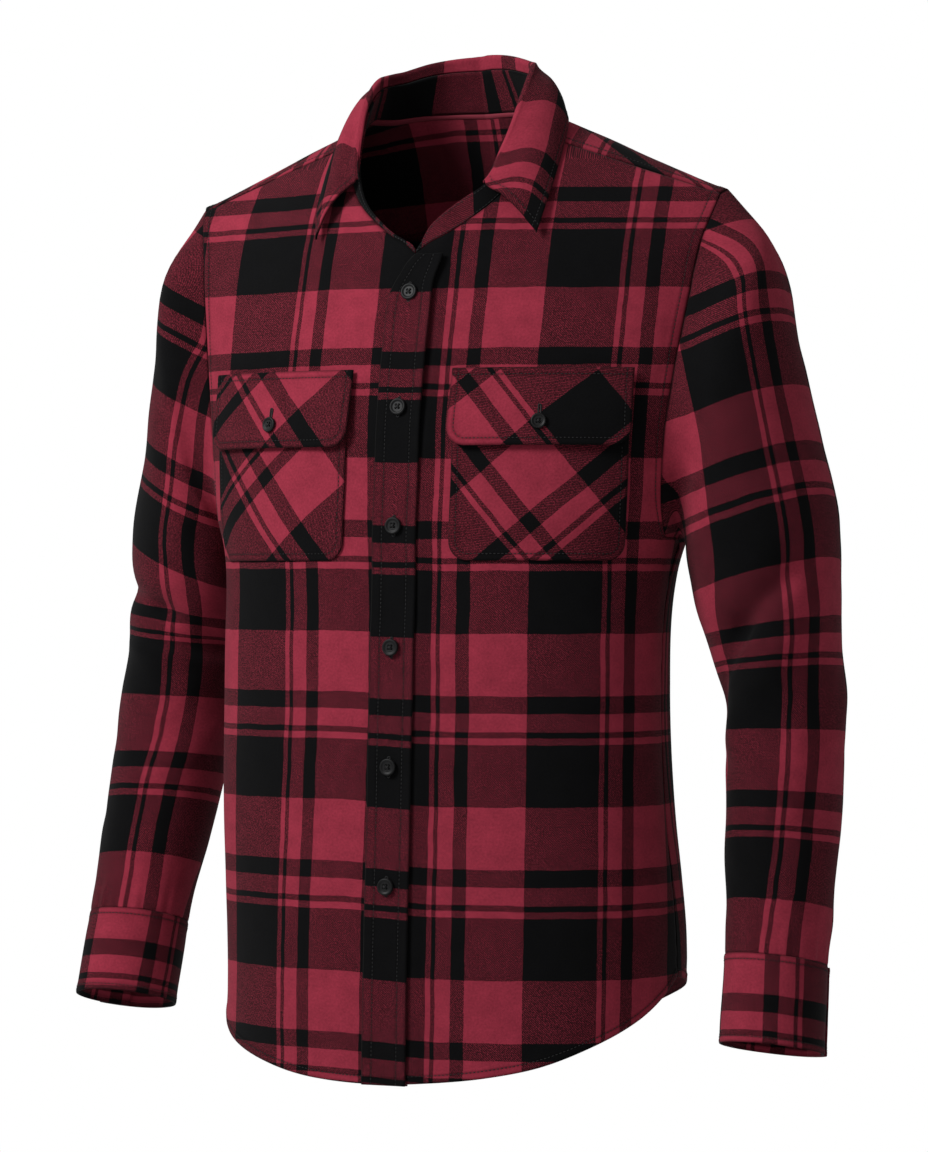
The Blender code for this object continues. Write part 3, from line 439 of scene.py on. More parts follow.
def yoke_params(front, back):
    """(x, psi) of half the yoke, front seam row first and neckline column first."""
    seam = front[-1]
    front_x = np.abs(seam[:, 0])
    first = np.stack([front_x, psi_of(-1, front_x, seam[:, 2])], -1)
    top = back[-1]
    back_x = np.abs(top[::-1, 0])
    back_edge = np.stack([back_x, psi_of(1, back_x, top[::-1, 2])], -1)
    corner_front, corner_back = first[-1], back_edge[0]
    steps = np.linspace(0, 1, YOKE_ARM + 1)
    arm_psi = corner_front[1] + (corner_back[1] - corner_front[1]) * steps**1.15
    share = np.clip(arm_psi / corner_back[1], 0, 1)
    ahead = SHOULDER_TIP + (corner_front[0] - SHOULDER_TIP) * (arm_psi / corner_front[1]) ** 2
    behind = SHOULDER_TIP + (corner_back[0] - SHOULDER_TIP) * share**1.5
    arm_x = np.where(arm_psi < 0, ahead, behind)
    outer = np.concatenate([np.stack([arm_x, arm_psi], -1)[:-1], back_edge])
    outer[0] = corner_front
    rows = len(outer)
    neck = along(NECK_BACK, rows - 1)
    front_face = psi_of(-1, neck[:, 0], neck[:, 1])
    back_face = psi_of(1, neck[:, 0], neck[:, 1])
    over = np.arange(rows) / (rows - 1) * (len(NECK_BACK) - 1) > 2
    inner = np.stack([neck[:, 0], np.where(over, back_face, front_face)], -1)
    inner[0] = first[0]
    last_z = np.linspace(NECK_BACK_Z, YOKE_BACK_Z, len(seam))
    last = np.stack([np.zeros(len(seam)), psi_of(1, np.zeros(len(seam)), last_z)], -1)
    return coons(first, last, inner, outer)


print("back grid before it is filled in:", back_params(1).shape[:2])

# %% [markdown]
# ## Cloth coordinates
#
# A check is woven into the cloth, so the material needs to know where each point lies on the flat cloth.
# For the fronts and the back, the distance across is the length round the level section from the middle,
# and the distance up is the length of the profile. Both are read from tables that measure the body once.

# %% Measure the body
HEIGHTS = np.arange(-800.0, 65.0, 5.0)
ANGLES = np.arange(-20.0, 90.5, 1.0)
EYE_LEVEL = -361.0


def across_table(side, face):
    """Signed length round each level section, from the middle of the face to each angle."""
    points = body(side, face, ANGLES[None, :], HEIGHTS[:, None])
    run = run_along(points, 1)
    return run - run[:, [20]]


ACROSS = {(side, face): across_table(side, face) for side in (1, -1) for face in (1, -1)}


def up_table(face):
    """Length of the profile at 100 mm from the middle, from eye level to each height."""
    points = body(1, face, angle_of(1, 100.0, HEIGHTS), np.minimum(HEIGHTS, -30))
    run = run_along(points, 0)
    return run - np.interp(EYE_LEVEL, HEIGHTS, run)


UP = {face: up_table(face) for face in (1, -1)}


def cloth_on_body(side, face, params):
    """Cloth coordinates at (angle, height) pairs: across to the wearer's left, and up."""
    angle, z = params[..., 0], params[..., 1]
    u = side * look_up(ACROSS[side, face], HEIGHTS, ANGLES, z, angle)
    return np.stack([u, np.interp(z, HEIGHTS, UP[face])], -1)


print("half girth at the hem:", round(float(ACROSS[1, -1][12, -1] + ACROSS[1, 1][12, -1])), "mm")

# %% [markdown]
# ## Turning a grid into cloth
#
# Every piece becomes a grid of quads with its cloth coordinates in a UV map. Pieces that close on
# themselves, such as a sleeve, share the vertices of their first and last columns, while each corner
# keeps its own coordinates. The Solidify modifier then gives the wall its real thickness on the inside of
# the surface.

# %% Cloth maker
WALL = 1.1  # a brushed flannel of about 180 g/m2
PIECES = []


def normals(grid, closed=False):
    """Unit normals of a grid of points, from the cross product of its two directions."""
    if closed:
        across = np.roll(grid, -1, axis=1) - np.roll(grid, 1, axis=1)
    else:
        across = np.gradient(grid, axis=1)
    n = np.cross(across, np.gradient(grid, axis=0))
    return n / np.maximum(np.linalg.norm(n, axis=-1, keepdims=True), 1e-9)


def outward(grid, centre, closed=False, rows=slice(None)):
    """The same normals, turned to point away from `centre`, judged on some of the rows."""
    n = normals(grid, closed)
    away = np.sum(n[rows] * (grid[rows] - centre))
    return n if away > 0 else -n


def mesh_from(name, points, faces):
    mesh = bpy.data.meshes.new(name)
    faces = faces if isinstance(faces, list) else faces.tolist()
    mesh.from_pydata((np.asarray(points).reshape(-1, 3) * MM).tolist(), [], faces)
    mesh.shade_smooth()
    obj = bpy.data.objects.new(name, mesh)
    bpy.context.scene.collection.objects.link(obj)
    return obj


def cloth(name, grid, uv, out, closed=False, wall=WALL, painted_shade=None):
    """A grid as a wall of cloth. `out` holds the outward normals, which settle which way the faces turn."""
    rows, cols = grid.shape[:2]
    ids = np.arange(rows * cols).reshape(rows, cols)
    left, right = (ids, np.roll(ids, -1, axis=1)) if closed else (ids[:, :-1], ids[:, 1:])
    quads = np.stack([left[:-1], right[:-1], right[1:], left[1:]], -1).reshape(-1, 4)
    marks = np.arange(uv.shape[0] * uv.shape[1]).reshape(uv.shape[:2])
    corner = np.stack([marks[:-1, :-1], marks[:-1, 1:], marks[1:, 1:], marks[1:, :-1]], -1).reshape(-1, 4)
    if np.sum(normals(grid, closed) * out) < 0:
        quads, corner = quads[:, ::-1], corner[:, ::-1]
    obj = mesh_from(name, grid, quads)
    layer = obj.data.uv_layers.new(name="cloth")
    layer.data.foreach_set("uv", (uv.reshape(-1, 2)[corner.ravel()] * MM).ravel())
    # The seam attribute holds painted shade: how much darker the cloth is drawn in its grooves and at its
    # edges.
    if painted_shade is not None:
        shade = obj.data.attributes.new("seam", "FLOAT", "POINT")
        shade.data.foreach_set("value", np.clip(painted_shade, 0, 1).ravel())
    solid = obj.modifiers.new("thickness", "SOLIDIFY")
    solid.thickness = wall * MM
    solid.offset = -1
    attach(obj, "root")
    area = run_area(grid, closed)
    whole = np.concatenate([grid, grid[:, :1]], axis=1) if closed else grid
    wide = float(run_along(whole, 1)[:, -1].max()) * MM
    long = float(run_along(whole, 0)[-1].max()) * MM
    PIECES.append((obj, wide, long, area))
    return obj


def run_area(grid, closed):
    """Area of a grid of points in square metres, from the cross product of its cells' diagonals."""
    if closed:
        grid = np.concatenate([grid, grid[:, :1]], axis=1)
    one = grid[1:, 1:] - grid[:-1, :-1]
    two = grid[1:, :-1] - grid[:-1, 1:]
    return float(np.linalg.norm(np.cross(one, two), axis=-1).sum() / 2) * MM * MM


# %% [markdown]
# ## Sewn edges and soft folds
#
# A sewn edge has its own small landscape: the cloth is thicker over the seam allowance, rolls down at the
# edge, dips along the row of stitches, and puckers a little between them. Painted shade darkens the cloth
# at the edge and along the groove of the stitches. It is a function of the distance from the edge. The slow
# unevenness of washed cloth is a smooth noise with a size in millimetres and a seed.

# %% Rows of stitches: distances from the edge, in mm
HEM_ROW, ARM_ROW, YOKE_ROW, YOKE_ARM_ROW = 6.0, 7.0, 6.0, 6.5
CUFF_ROW, LEAF_ROW, PLACKET_ROW, PATCH_ROW = 5.0, 6.0, 8.5, 5.5


# %% Relief
def noise(u, v, size, seed):
    """Smooth noise from -1 to 1 with bumps about `size` mm apart: random values on a lattice, blended."""
    values = np.random.default_rng(seed).uniform(-1, 1, (64, 64))
    a, b = np.asarray(u) / size, np.asarray(v) / size
    i, j = np.floor(a).astype(int), np.floor(b).astype(int)
    s, t = ease(a - i), ease(b - j)

    def at(p, q):
        return values[(i + p) % 64, (j + q) % 64]

    return (at(0, 0) * (1 - s) + at(1, 0) * s) * (1 - t) + (at(0, 1) * (1 - s) + at(1, 1) * s) * t


def hem_relief(d, along, row, thick=0.5, seed=1):
    """Height over the cloth at distance d from a sewn edge whose stitches run at distance `row`.

    It is a complex number: the real part is the height, and the imaginary part is painted shade, how much
    darker the cloth is drawn where its rolled edge and its stitch groove fall into shade: 1 at the edge and a
    little less along the stitches. The doubled cloth ends just past the stitches.
    """
    # Painted shade at the rolled edge and along the groove of the stitches.
    painted_shade = np.exp(-((d / 1.3) ** 2)) + 0.75 * np.exp(-(((d - row) / 1.0) ** 2))
    fold = thick * (1 - ease((d - row - 0.8) / 1.6)) - 0.45 * np.exp(-((d / 0.9) ** 2))
    pucker = noise(along, d * 0.5, 7.0, seed) * 0.16 * np.exp(-(((d - row) / 4.0) ** 2))
    return fold - 0.42 * np.exp(-(((d - row) / 0.75) ** 2)) + pucker + 1j * painted_shade


def edge_distances(grid):
    """Distances from the first row, last row, first column and last column, along the grid's own lines."""
    by_row, by_col = run_along(grid, 0), run_along(grid, 1)
    return by_row, by_row[-1] - by_row, by_col, by_col[:, -1:] - by_col


def crease(p, a, b, depth, width, ridge=0.5, fade=18.0):
    """A soft trough from a to b over the two coordinates p, with a low ridge beside it and faded ends."""
    a, b = np.asarray(a, float), np.asarray(b, float)
    line = b - a
    length = np.linalg.norm(line)
    rel = p - a
    run = rel @ line / length
    off = (rel[..., 0] * line[1] - rel[..., 1] * line[0]) / length * np.sign(line[0] + 1e-9)
    past = np.maximum(np.maximum(-run, run - length), 0)
    side = ridge * np.exp(-(((off - 1.5 * width) / width) ** 2))
    return depth * np.exp(-((past / fade) ** 2)) * (side - np.exp(-((off / width) ** 2)))


# %% [markdown]
# ## Fronts, back and yoke
#
# Each panel's coarse grid of angles and heights is filled in with a spline and then read off the body, so
# that the fine cloth lies exactly on the body's form. The grid is closest near the edges, where the seams
# need it.

# %% Panels on the body
STEP = 3.4


def body_centre(grid):
    """A point inside the body at each point's own height, to tell outwards from inwards."""
    level = np.zeros(grid.shape[:2])
    return np.stack([level, level - 8, np.minimum(grid[..., 2], -60)], -1)


PARAMS = {("front", s): front_params(s) for s in (1, -1)} | {("back", s): back_params(s) for s in (1, -1)}
FACE = {"front": -1, "back": 1}
COARSE = {(word, s): body(s, FACE[word], p[..., 0], p[..., 1]) for (word, s), p in PARAMS.items()}
NECK_ROW = LOW_ROWS + EDGE_ROWS


def fine_panel(key):
    """(params, row numbers) of a panel's fine grid."""
    points = COARSE[key]
    stations = (LOW_ROWS, NECK_ROW) if key[0] == "front" else (LOW_ROWS,)
    rows, cols = dense(points, 0, STEP, stations), dense(points, 1, STEP)
    return spline(PARAMS[key], rows, cols), rows


FINE = {key: fine_panel(key) for key in PARAMS}


def front_surface(side):
    """A front's fine points."""
    p, _ = FINE["front", side]
    return raised(side, body(side, -1, p[..., 0], p[..., 1]))


def yoke_surface(side):
    """Points and (x, psi) of half the yoke, front seam first."""
    coarse = yoke_params(COARSE["front", side], COARSE["back", side])
    points = over_ridge(side, coarse[..., 0], coarse[..., 1])
    rows = dense(points, 0, STEP, (YOKE_ARM,))
    p = spline(coarse, rows, dense(points, 1, STEP))
    return over_ridge(side, p[..., 0], p[..., 1]), p, rows


FRONTS = {s: front_surface(s) for s in (1, -1)}
BACKS = {s: body(s, 1, FINE["back", s][0][..., 0], FINE["back", s][0][..., 1]) for s in (1, -1)}
YOKES = {s: yoke_surface(s) for s in (1, -1)}
print("front grid:", FRONTS[1].shape[:2], "back:", BACKS[1].shape[:2], "yoke:", YOKES[1][0].shape[:2])


# %% [markdown]
# ## From the panels to the seams
#
# The armhole runs up the front, over the yoke and down the back. The neckline runs over both fronts and
# both yoke halves. Both are read from the panels' own edges, so the sleeve and the collar start exactly
# where the cloth ends.

# %% Seams
def row_of(rows, station):
    """The fine row that lies at a station of the coarse grid."""
    return int(np.argmin(np.abs(rows - station)))


def armhole_loop(side):
    """Underarm, up the front's edge, over the yoke's and down the back's, left open at its end."""
    front, back, (yoke, _, yoke_rows) = FRONTS[side], BACKS[side], YOKES[side]
    up = front[row_of(FINE["front", side][1], LOW_ROWS):, -1]
    over = yoke[1:row_of(yoke_rows, YOKE_ARM), -1]
    down = back[row_of(FINE["back", side][1], LOW_ROWS):, -1][::-1]
    return np.concatenate([up, over, down])[:-1]


def neckline():
    """The whole neckline from the right front's end round the back to the left front's end."""
    halves = {}
    for side in (1, -1):
        first = row_of(FINE["front", side][1], NECK_ROW)
        halves[side] = np.concatenate([FRONTS[side][first:, 0], YOKES[side][0][1:, 0]])
    return np.concatenate([halves[-1], halves[1][::-1][1:]])


LOOPS = {s: armhole_loop(s) for s in (1, -1)}
NECK = neckline()
print("armhole:", round(float(run_along(LOOPS[1], 0)[-1])), "mm round")
print("neckline:", round(float(run_along(NECK, 0)[-1])), "mm long")

# %% [markdown]
# ## Sleeves and cuffs
#
# A sleeve is a loft: rings of points from the armhole down to the cuff, each ring an ellipse with its own
# tilt. The cloth's level threads follow planes across the arm, so the cloth coordinates are found from
# those planes and from the angle round the arm's own axis.

# %% Sizes of the sleeves
# Sleeve rings, from the cap to the cuff's bottom. across and deep are half sizes; outer_up and front_up
# tip the ring's outer and front edges upwards, in degrees.
SLEEVE_LEFT = np.array([
    # x, y, z, across, deep, outer_up, front_up
    (229, 4, -213, 124.5, 60, 74.3, 0),
    (243, 5, -257, 91.5, 66, 62, 0),
    (251.5, 7, -300.5, 72, 69, 45.6, 0),
    (259.5, 9, -345, 62, 67, 24, 0),
    (263, 10, -384, 56, 63, 12, 0),
    (269, 11, -421, 51.5, 57, 6, 2),
    (273.5, 12, -458, 48.5, 54, 2, 3),
    (274.5, 11, -497, 47.5, 52, 0, 4),
    (275, 9, -537, 46, 50.5, 0, 6),
    (274.5, 5, -577, 45, 49, 0, 9),
    (275.7, -3, -616, 42, 46, -1, 11),
    (276.5, -13, -650, 39.8, 44, -2, 12),
    (277, -16, -660.5, 39.5, 43.6, -2, 12),
    (279.7, -34, -728, 40.2, 44.6, -2, 12),
], float)
SLEEVE_RIGHT = np.array([
    # x, y, z, across, deep, outer_up, front_up
    (219.5, 5, -216, 126, 59, 76.5, 0),
    (228, 8, -259, 91, 66, 67, 0),
    (235, 13, -303, 67, 70, 53, 0),
    (243, 20, -346, 56.5, 69, 27, 0),
    (246, 24, -384, 50, 65, 12, 0),
    (250, 24, -421, 48, 60, 5, 2),
    (257, 20, -458, 48, 56, 2, 3),
    (262, 15, -497, 47.5, 52, 0, 5),
    (267, 9, -537, 46.5, 50, 0, 8),
    (272.5, 2, -577, 44.5, 47, 0, 11),
    (275.5, -9, -612, 41, 44, 0, 14),
    (277, -17, -636, 39.8, 43, 0, 15),
    (277.3, -19, -643, 39.5, 42.8, 0, 15),
    (280.6, -37, -709, 40.2, 43.6, 0, 15),
], float)
ARM_DEGREE = 0.95  # mm of cloth for each degree round the arm
FOLD_RIDGE = 0.55  # height of the ridge beside a fold, as a share of the fold's depth
# Folds pressed into the sleeves: troughs from one place to another, each with a low ridge on its upper side.
SLEEVE_FOLDS = np.array([
    # side, angle_a, z_a, angle_b, z_b, depth, width
    (1, 132, -356, 84, -400, 4.0, 17),
    (1, 84, -400, 30, -462, 5.5, 18),
    (1, 250, -372, 330, -430, 3.5, 18),
    (-1, 160, -368, 92, -393, 3.5, 16),
    (-1, 92, -393, 35, -424, 4.5, 17),
    (-1, 250, -380, 330, -432, 3.5, 18),
], float)
print("sleeves:", len(SLEEVE_LEFT), "and", len(SLEEVE_RIGHT), "rings,", len(SLEEVE_FOLDS), "folds")


# %% Sleeve surfaces
def ring_points(side, row, beta):
    """A ring's points at angles beta: 0 the inner side, 90 the front, 180 the outer side, 270 the back."""
    x, y, z, across, deep, outer_up, front_up = row
    up, forward = np.radians(outer_up), np.radians(front_up)
    out = np.array([side * np.cos(up), 0, np.sin(up)])
    ahead = np.array([0, -np.cos(forward), np.sin(forward)])
    b = np.radians(np.asarray(beta, float))[..., None]
    return np.array([side * x, y, z]) - across * np.cos(b) * out + deep * np.sin(b) * ahead


def sleeve_folds(side, grid, beta):
    """The sleeve's folds as shifts of its points, straight in or out from its middle."""
    away = grid - grid.mean(axis=1, keepdims=True)
    away[..., 2] = 0
    away /= np.linalg.norm(away, axis=-1, keepdims=True)
    place = np.stack([beta * ARM_DEGREE, grid[..., 2]], -1)
    shift = np.zeros(grid.shape[:2])
    for _, angle_a, z_a, angle_b, z_b, depth, width in SLEEVE_FOLDS[SLEEVE_FOLDS[:, 0] == side]:
        a, b = (angle_a * ARM_DEGREE, z_a), (angle_b * ARM_DEGREE, z_b)
        shift += crease(place, a, b, depth, width, FOLD_RIDGE)
    return away * shift[..., None]


def sleeve_surface(side, loop):
    """Points and ring angles, a row every 1.2 mm near both seams and every 3.6 mm between them."""
    table = SLEEVE_LEFT if side > 0 else SLEEVE_RIGHT
    count = len(loop)
    share = run_along(np.concatenate([loop, loop[:1]]), 0)
    share = share[:-1] / share[-1]
    tip = share[np.argmax(loop[:, 2])]
    own = np.where(share < tip, share / tip * 0.5, 0.5 + (share - tip) / (1 - tip) * 0.5)
    even = np.arange(count) / count
    # Over the first seven rings the angles pass from the armhole's own spacing to an even one.
    rings, betas = [loop], [360 * own]
    for k, row in enumerate(table[:-1]):
        mix = ease((k + 1) / 7)
        betas.append(360 * (own * (1 - mix) + even * mix))
        rings.append(ring_points(side, row, betas[-1]))
    rings, betas = np.array(rings), np.array(betas)
    at = run_along(rings.mean(axis=1), 0)
    rim = np.arange(0, 11, 1.2)
    inner = np.linspace(11, at[-1] - 11, round((at[-1] - 22) / 3.6))
    where = np.r_[rim, inner, at[-1] - rim[::-1]]
    grid, beta = smooth(where, at, rings), smooth(where, at, betas)
    return grid + sleeve_folds(side, grid, beta), beta


# %% Cloth coordinates of the sleeves
def stations(side):
    """A sleeve's planes: centres, directions out, ahead and down, lengths down the arm, mean radii."""
    table = (SLEEVE_LEFT if side > 0 else SLEEVE_RIGHT)[3:]
    up, forward = np.radians(table[:, 5]), np.radians(table[:, 6])
    zero = np.zeros(len(table))
    out = np.stack([side * np.cos(up), zero, np.sin(up)], -1)
    ahead = np.stack([zero, -np.cos(forward), np.sin(forward)], -1)
    down = np.cross(out, ahead) * side
    down *= -np.sign(down[:, 2:])
    centre = table[:, :3] * [side, 1, 1]
    length = run_along(centre, 0)
    radius = np.sqrt((table[:, 3] ** 2 + table[:, 4] ** 2) / 2)
    first = [centre[0] - 300 * down[0], out[0], ahead[0], down[0], -300.0, radius[0]]
    rest = (centre, out, ahead, down, length, radius)
    return [np.concatenate([np.array([a]), b]) for a, b in zip(first, rest)]


# Near the top of the cap, where the cloth was eased in, the lengthwise threads spread: how much, how far
# above the underarm that starts, and how soon it is complete.
CAP_SPREAD, CAP_FROM, CAP_OVER = 0.9, 165.0, 80.0


def cloth_on_arm(side, grid, middle):
    """Cloth coordinates round and along the arm; column `middle` runs down the arm's outer side."""
    centre, out, ahead, down, length, radius = stations(side)
    s = np.einsum("kc,rjkc->krj", down, grid[:, :, None] - centre)
    last = len(centre) - 1
    k = np.clip((s >= 0).sum(axis=0) - 1, 0, last - 1)
    rows, cols = np.indices(k.shape)
    here, there = s[k, rows, cols], s[k + 1, rows, cols]
    t = np.clip(here / np.where(here == there, 1, here - there), 0, 1)[..., None]
    along_arm = length[k] + t[..., 0] * (length[k + 1] - length[k])
    along_arm += np.where(k == last - 1, np.maximum(there, 0), 0)
    rel = grid - (centre[k] + t * (centre[k + 1] - centre[k]))
    o, a = out[k] + t * (out[k + 1] - out[k]), ahead[k] + t * (ahead[k + 1] - ahead[k])
    turn = np.unwrap(np.arctan2(np.sum(rel * a, -1), np.sum(rel * o, -1)), axis=1)
    turn -= 2 * np.pi * np.round(turn[:, middle] / (2 * np.pi))[:, None]
    r = radius[k] + t[..., 0] * (radius[k + 1] - radius[k])
    outer_r = np.linalg.norm(rel[:, middle], axis=-1)
    outer_at = along_arm[:, middle]
    order = np.argsort(outer_at)
    above = np.interp(along_arm, outer_at[order], outer_r[order])
    above /= np.interp(0, outer_at[order], outer_r[order])
    spread = 1 + CAP_SPREAD * ease((-along_arm - CAP_FROM) / CAP_OVER)
    r = r * np.where(along_arm < 0, 1 + (above - 1) * spread, 1)
    return np.stack([-side * turn * r, -along_arm], -1)


def closed_columns(grid):
    return np.concatenate([grid, grid[:, :1]], axis=1)


SLEEVES = {s: sleeve_surface(s, LOOPS[s]) for s in (1, -1)}
OUTER = {s: int(np.argmin(np.abs(SLEEVES[s][1][-1] - 180))) for s in (1, -1)}
SLEEVE_UV = {s: cloth_on_arm(s, closed_columns(SLEEVES[s][0]), OUTER[s]) for s in (1, -1)}
sleeve_cloth = [tuple(np.round(np.ptp(SLEEVE_UV[s], axis=(0, 1)))) for s in (1, -1)]
print("sleeve grid:", SLEEVES[1][0].shape[:2], "cloth:", sleeve_cloth)

# %% [markdown]
# ## Cuffs
#
# A barrel cuff is one straight strip whose ends lap and button. Its rows are rings that go a little more
# than once round the wrist, and the last part rises by the cloth's thickness, so that it lies over the
# first.

# %% Cuffs
CUFF_LAP = 24.0  # how far the cuff's ends lap
CUFF_BACK = 262.0  # where the lap is round the wrist, in the sleeve's angles


def cuff_surface(side):
    """One strip round the wrist; its ends lap at the back, and the last part lies over the first."""
    table = SLEEVE_LEFT if side > 0 else SLEEVE_RIGHT
    top, bottom = table[-2], table[-1]
    girth = 2 * np.pi * np.sqrt((top[3] ** 2 + top[4] ** 2) / 2)
    lap = 360 * CUFF_LAP / girth
    turn = np.linspace(0, 360 + lap, 161)
    beta = CUFF_BACK - lap / 2 - turn
    rise = 0.4 + 2.9 * ease((turn - 300) / 55)
    grid = []
    for w in np.linspace(0, 1, 44):
        row = top + (bottom - top) * w
        points = ring_points(side, row, beta)
        away = points - np.array([side * row[0], row[1], row[2]])
        grid.append(points + away / np.linalg.norm(away, axis=1, keepdims=True) * rise[:, None])
    return np.array(grid), int(np.argmin(np.abs(beta - 180)))


CUFFS = {s: cuff_surface(s) for s in (1, -1)}
CUFF_UV = {s: cloth_on_arm(s, *CUFFS[s]) for s in (1, -1)}
print("cuff:", np.round(np.ptp(CUFF_UV[1], axis=(0, 1))), "mm of cloth")

# %% [markdown]
# ## Collar
#
# A shirt collar has two parts. The stand rises from the neckline, and the leaf is sewn to its top, rolls
# over and falls to the collar's edge. The roll is a tight curve, so the leaf's rows lie close together
# there.

# %% Collar surfaces
STAND = np.array([
    # mm from the stand's front end, height left and right, lean to the outside left and right, lean backwards
    (0, 3, 3, 0.00, 0.00, 0.25),
    (9, 11, 3, -0.06, 0.00, 0.27),
    (22, 17.5, 3.2, -0.12, 0.00, 0.28),
    (42, 21, 4, -0.12, 0.00, 0.26),
    (66, 19, 6, -0.14, -0.05, 0.16),
    (92, 24, 14, -0.36, -0.25, 0.00),
    (128, 27, 24, -0.48, -0.50, -0.20),
    (174, 29.5, 25.5, -0.36, -0.46, -0.34),
    (200, 33, 30, -0.38, -0.44, -0.34),
    (226, 35, 33.5, -0.36, -0.36, -0.34),
    (256, 36, 35, -0.20, -0.20, -0.34),
    (288, 35, 35, 0.00, 0.00, -0.34),
], float)
LEAF_FROM_LEFT, LEAF_FROM_RIGHT = 66.0, 84.0  # where the leaf starts, from the stand's front ends
ROLL_RISE = np.array([
    # share of the way from the leaf's front end to the middle of the back, rise of the roll over the stand
    (0, 4), (0.2, 7), (0.4, 9), (0.7, 11), (1, 13),
], float)
# The leaf's outer edge from its tips to the middle of the back: the wearer's left, then the right.
LEAF_LEFT = np.array([
    # x, y, z
    (98, -71, -91.5), (101, -60.5, -71), (102.5, -40, -42), (102, -21, -17), (98, -2, 3),
    (80, 28, 7), (54, 55, 10), (0, 74, 13),
], float)
LEAF_RIGHT = np.array([
    # x, y, z
    (-93, -72, -91.5), (-96.5, -61.5, -71), (-98.5, -42, -42), (-98.5, -22, -16), (-95, -3, 6),
    (-78, 28, 9.5), (-53, 55, 11), (0, 74, 13),
], float)

STAND_GAP = 0.6  # between the stand's top edge and the leaf
LEAF_BOWS = ((0.3, 3.8), (0.62, 3.9), (1.0, 0.0))  # share of the way down the leaf, how far it bows out there


def length_from_ends(curve):
    """Distance along a curve from its nearer end."""
    run = run_along(curve, 0)
    return np.minimum(run, run[-1] - run)


def stand_surface(neck):
    """Up from the neckline, leaning as the table says at each distance from the stand's front ends."""
    e = length_from_ends(neck)
    row = smooth(e, STAND[:, 0], STAND[:, 1:])
    side = np.clip(neck[:, 0] / 9, -1, 1)
    left = 0.5 + side / 2
    height = row[:, 1] + (row[:, 0] - row[:, 1]) * left
    lean = row[:, 3] + (row[:, 2] - row[:, 3]) * left
    up = np.stack([side * lean, row[:, 4], np.ones(len(e))], -1)
    up /= np.linalg.norm(up, axis=1, keepdims=True)
    return np.array([neck + up * height[:, None] * w for w in np.linspace(0, 1, 15)])


def leaf_frame(stand, count):
    """Rows of control points: up from the stand's top edge, over the roll and down to the edge."""
    top, e = stand[-1], run_along(stand[0], 0)
    q = np.linspace(-1, 1, count)
    where = np.interp((q + 1) / 2, [0, 1], [LEAF_FROM_RIGHT, e[-1] - LEAF_FROM_LEFT])
    base = read_at(where, e, top)
    share = 1 - np.abs(q)
    k, steps = share * (len(LEAF_LEFT) - 1), np.arange(len(LEAF_LEFT))
    edge = np.where(q[:, None] < 0, smooth(k, steps, LEAF_RIGHT), smooth(k, steps, LEAF_LEFT))
    roll = base + np.array([0, 0, 1.0]) * smooth(share, ROLL_RISE[:, 0], ROLL_RISE[:, 1])[:, None]
    steps = np.arange(len(q))
    coarse = np.linspace(0, len(q) - 1, 35)
    tangent = read_at(steps, coarse, np.gradient(read_at(coarse, steps, base), axis=0))
    out = np.stack([tangent[:, 1], -tangent[:, 0], np.zeros(len(q))], -1)
    out /= np.linalg.norm(out, axis=1, keepdims=True)
    out *= np.sign(np.sum(out[:, :2] * base[:, :2], axis=1))[:, None]
    roll = roll + 1.7 * out
    up = np.array([0, 0, 1.0])
    base = base + up * STAND_GAP + 0.2 * out
    bend = np.minimum((roll[:, 2:] - base[:, 2:]) * 0.45, 3.2)
    inner = roll - out * 2.6 - up * bend
    outer = roll + out * 3.4 - up * 3.2
    top_in, top_out = roll - out * 1.5 - up * bend * 0.25, roll + out * 1.3 - up * 0.3
    rows = [base, (base + inner) / 2, inner, top_in, top_out, outer]
    for w, bow in LEAF_BOWS:
        rows.append(outer + (edge - outer) * w + (out + up * 0.6) * bow)
    return np.array(rows)


def leaf_surface(stand):
    """The leaf's fine points, rows closer over the roll and at the edge."""
    rows = leaf_frame(stand, 301)
    at = run_along(rows, 0).mean(axis=1)
    over_roll, rim = np.arange(0, at[5] + 3, 0.8), at[-1] - np.arange(10, -0.1, -1.0)
    where = np.r_[over_roll, np.linspace(at[5] + 4, at[-1] - 11, 18), rim]
    return smooth(where, at, rows)


STAND_GRID = stand_surface(NECK)
LEAF_GRID = leaf_surface(STAND_GRID)
print("collar stand:", STAND_GRID.shape[:2], "leaf:", LEAF_GRID.shape[:2])

# %% [markdown]
# ## Placket, pockets and flaps
#
# These lie on the fronts. Each is drawn first on the flat, as distances round the front and heights, and
# is then laid on the body and lifted by the thickness of the cloth under it.

# %% Laying cloth on the front
REACHES = np.arange(-60.0, 260.0, 2.0)
ANGLE_AT = {s: np.array([np.interp(REACHES, row, ANGLES) for row in ACROSS[s, -1]]) for s in (1, -1)}


def on_front(side, reach, z, lift):
    """Points and normals at distances round the front and heights z, lifted off the cloth."""
    def at(r, h):
        angle = look_up(ANGLE_AT[side], HEIGHTS, REACHES, h, r)
        return raised(side, body(side, -1, angle, h))

    reach, z = np.broadcast_arrays(np.asarray(reach, float), np.asarray(z, float))
    n = np.cross(at(reach + 2, z) - at(reach - 2, z), at(reach, z + 2) - at(reach, z - 2)) * side
    n /= np.linalg.norm(n, axis=-1, keepdims=True)
    return at(reach, z) + n * np.asarray(lift)[..., None], n


def flat_uv(side, reach, z):
    """Cloth coordinates of a piece laid on the front."""
    return np.stack(np.broadcast_arrays(side * reach, np.interp(z, HEIGHTS, UP[-1])), -1)


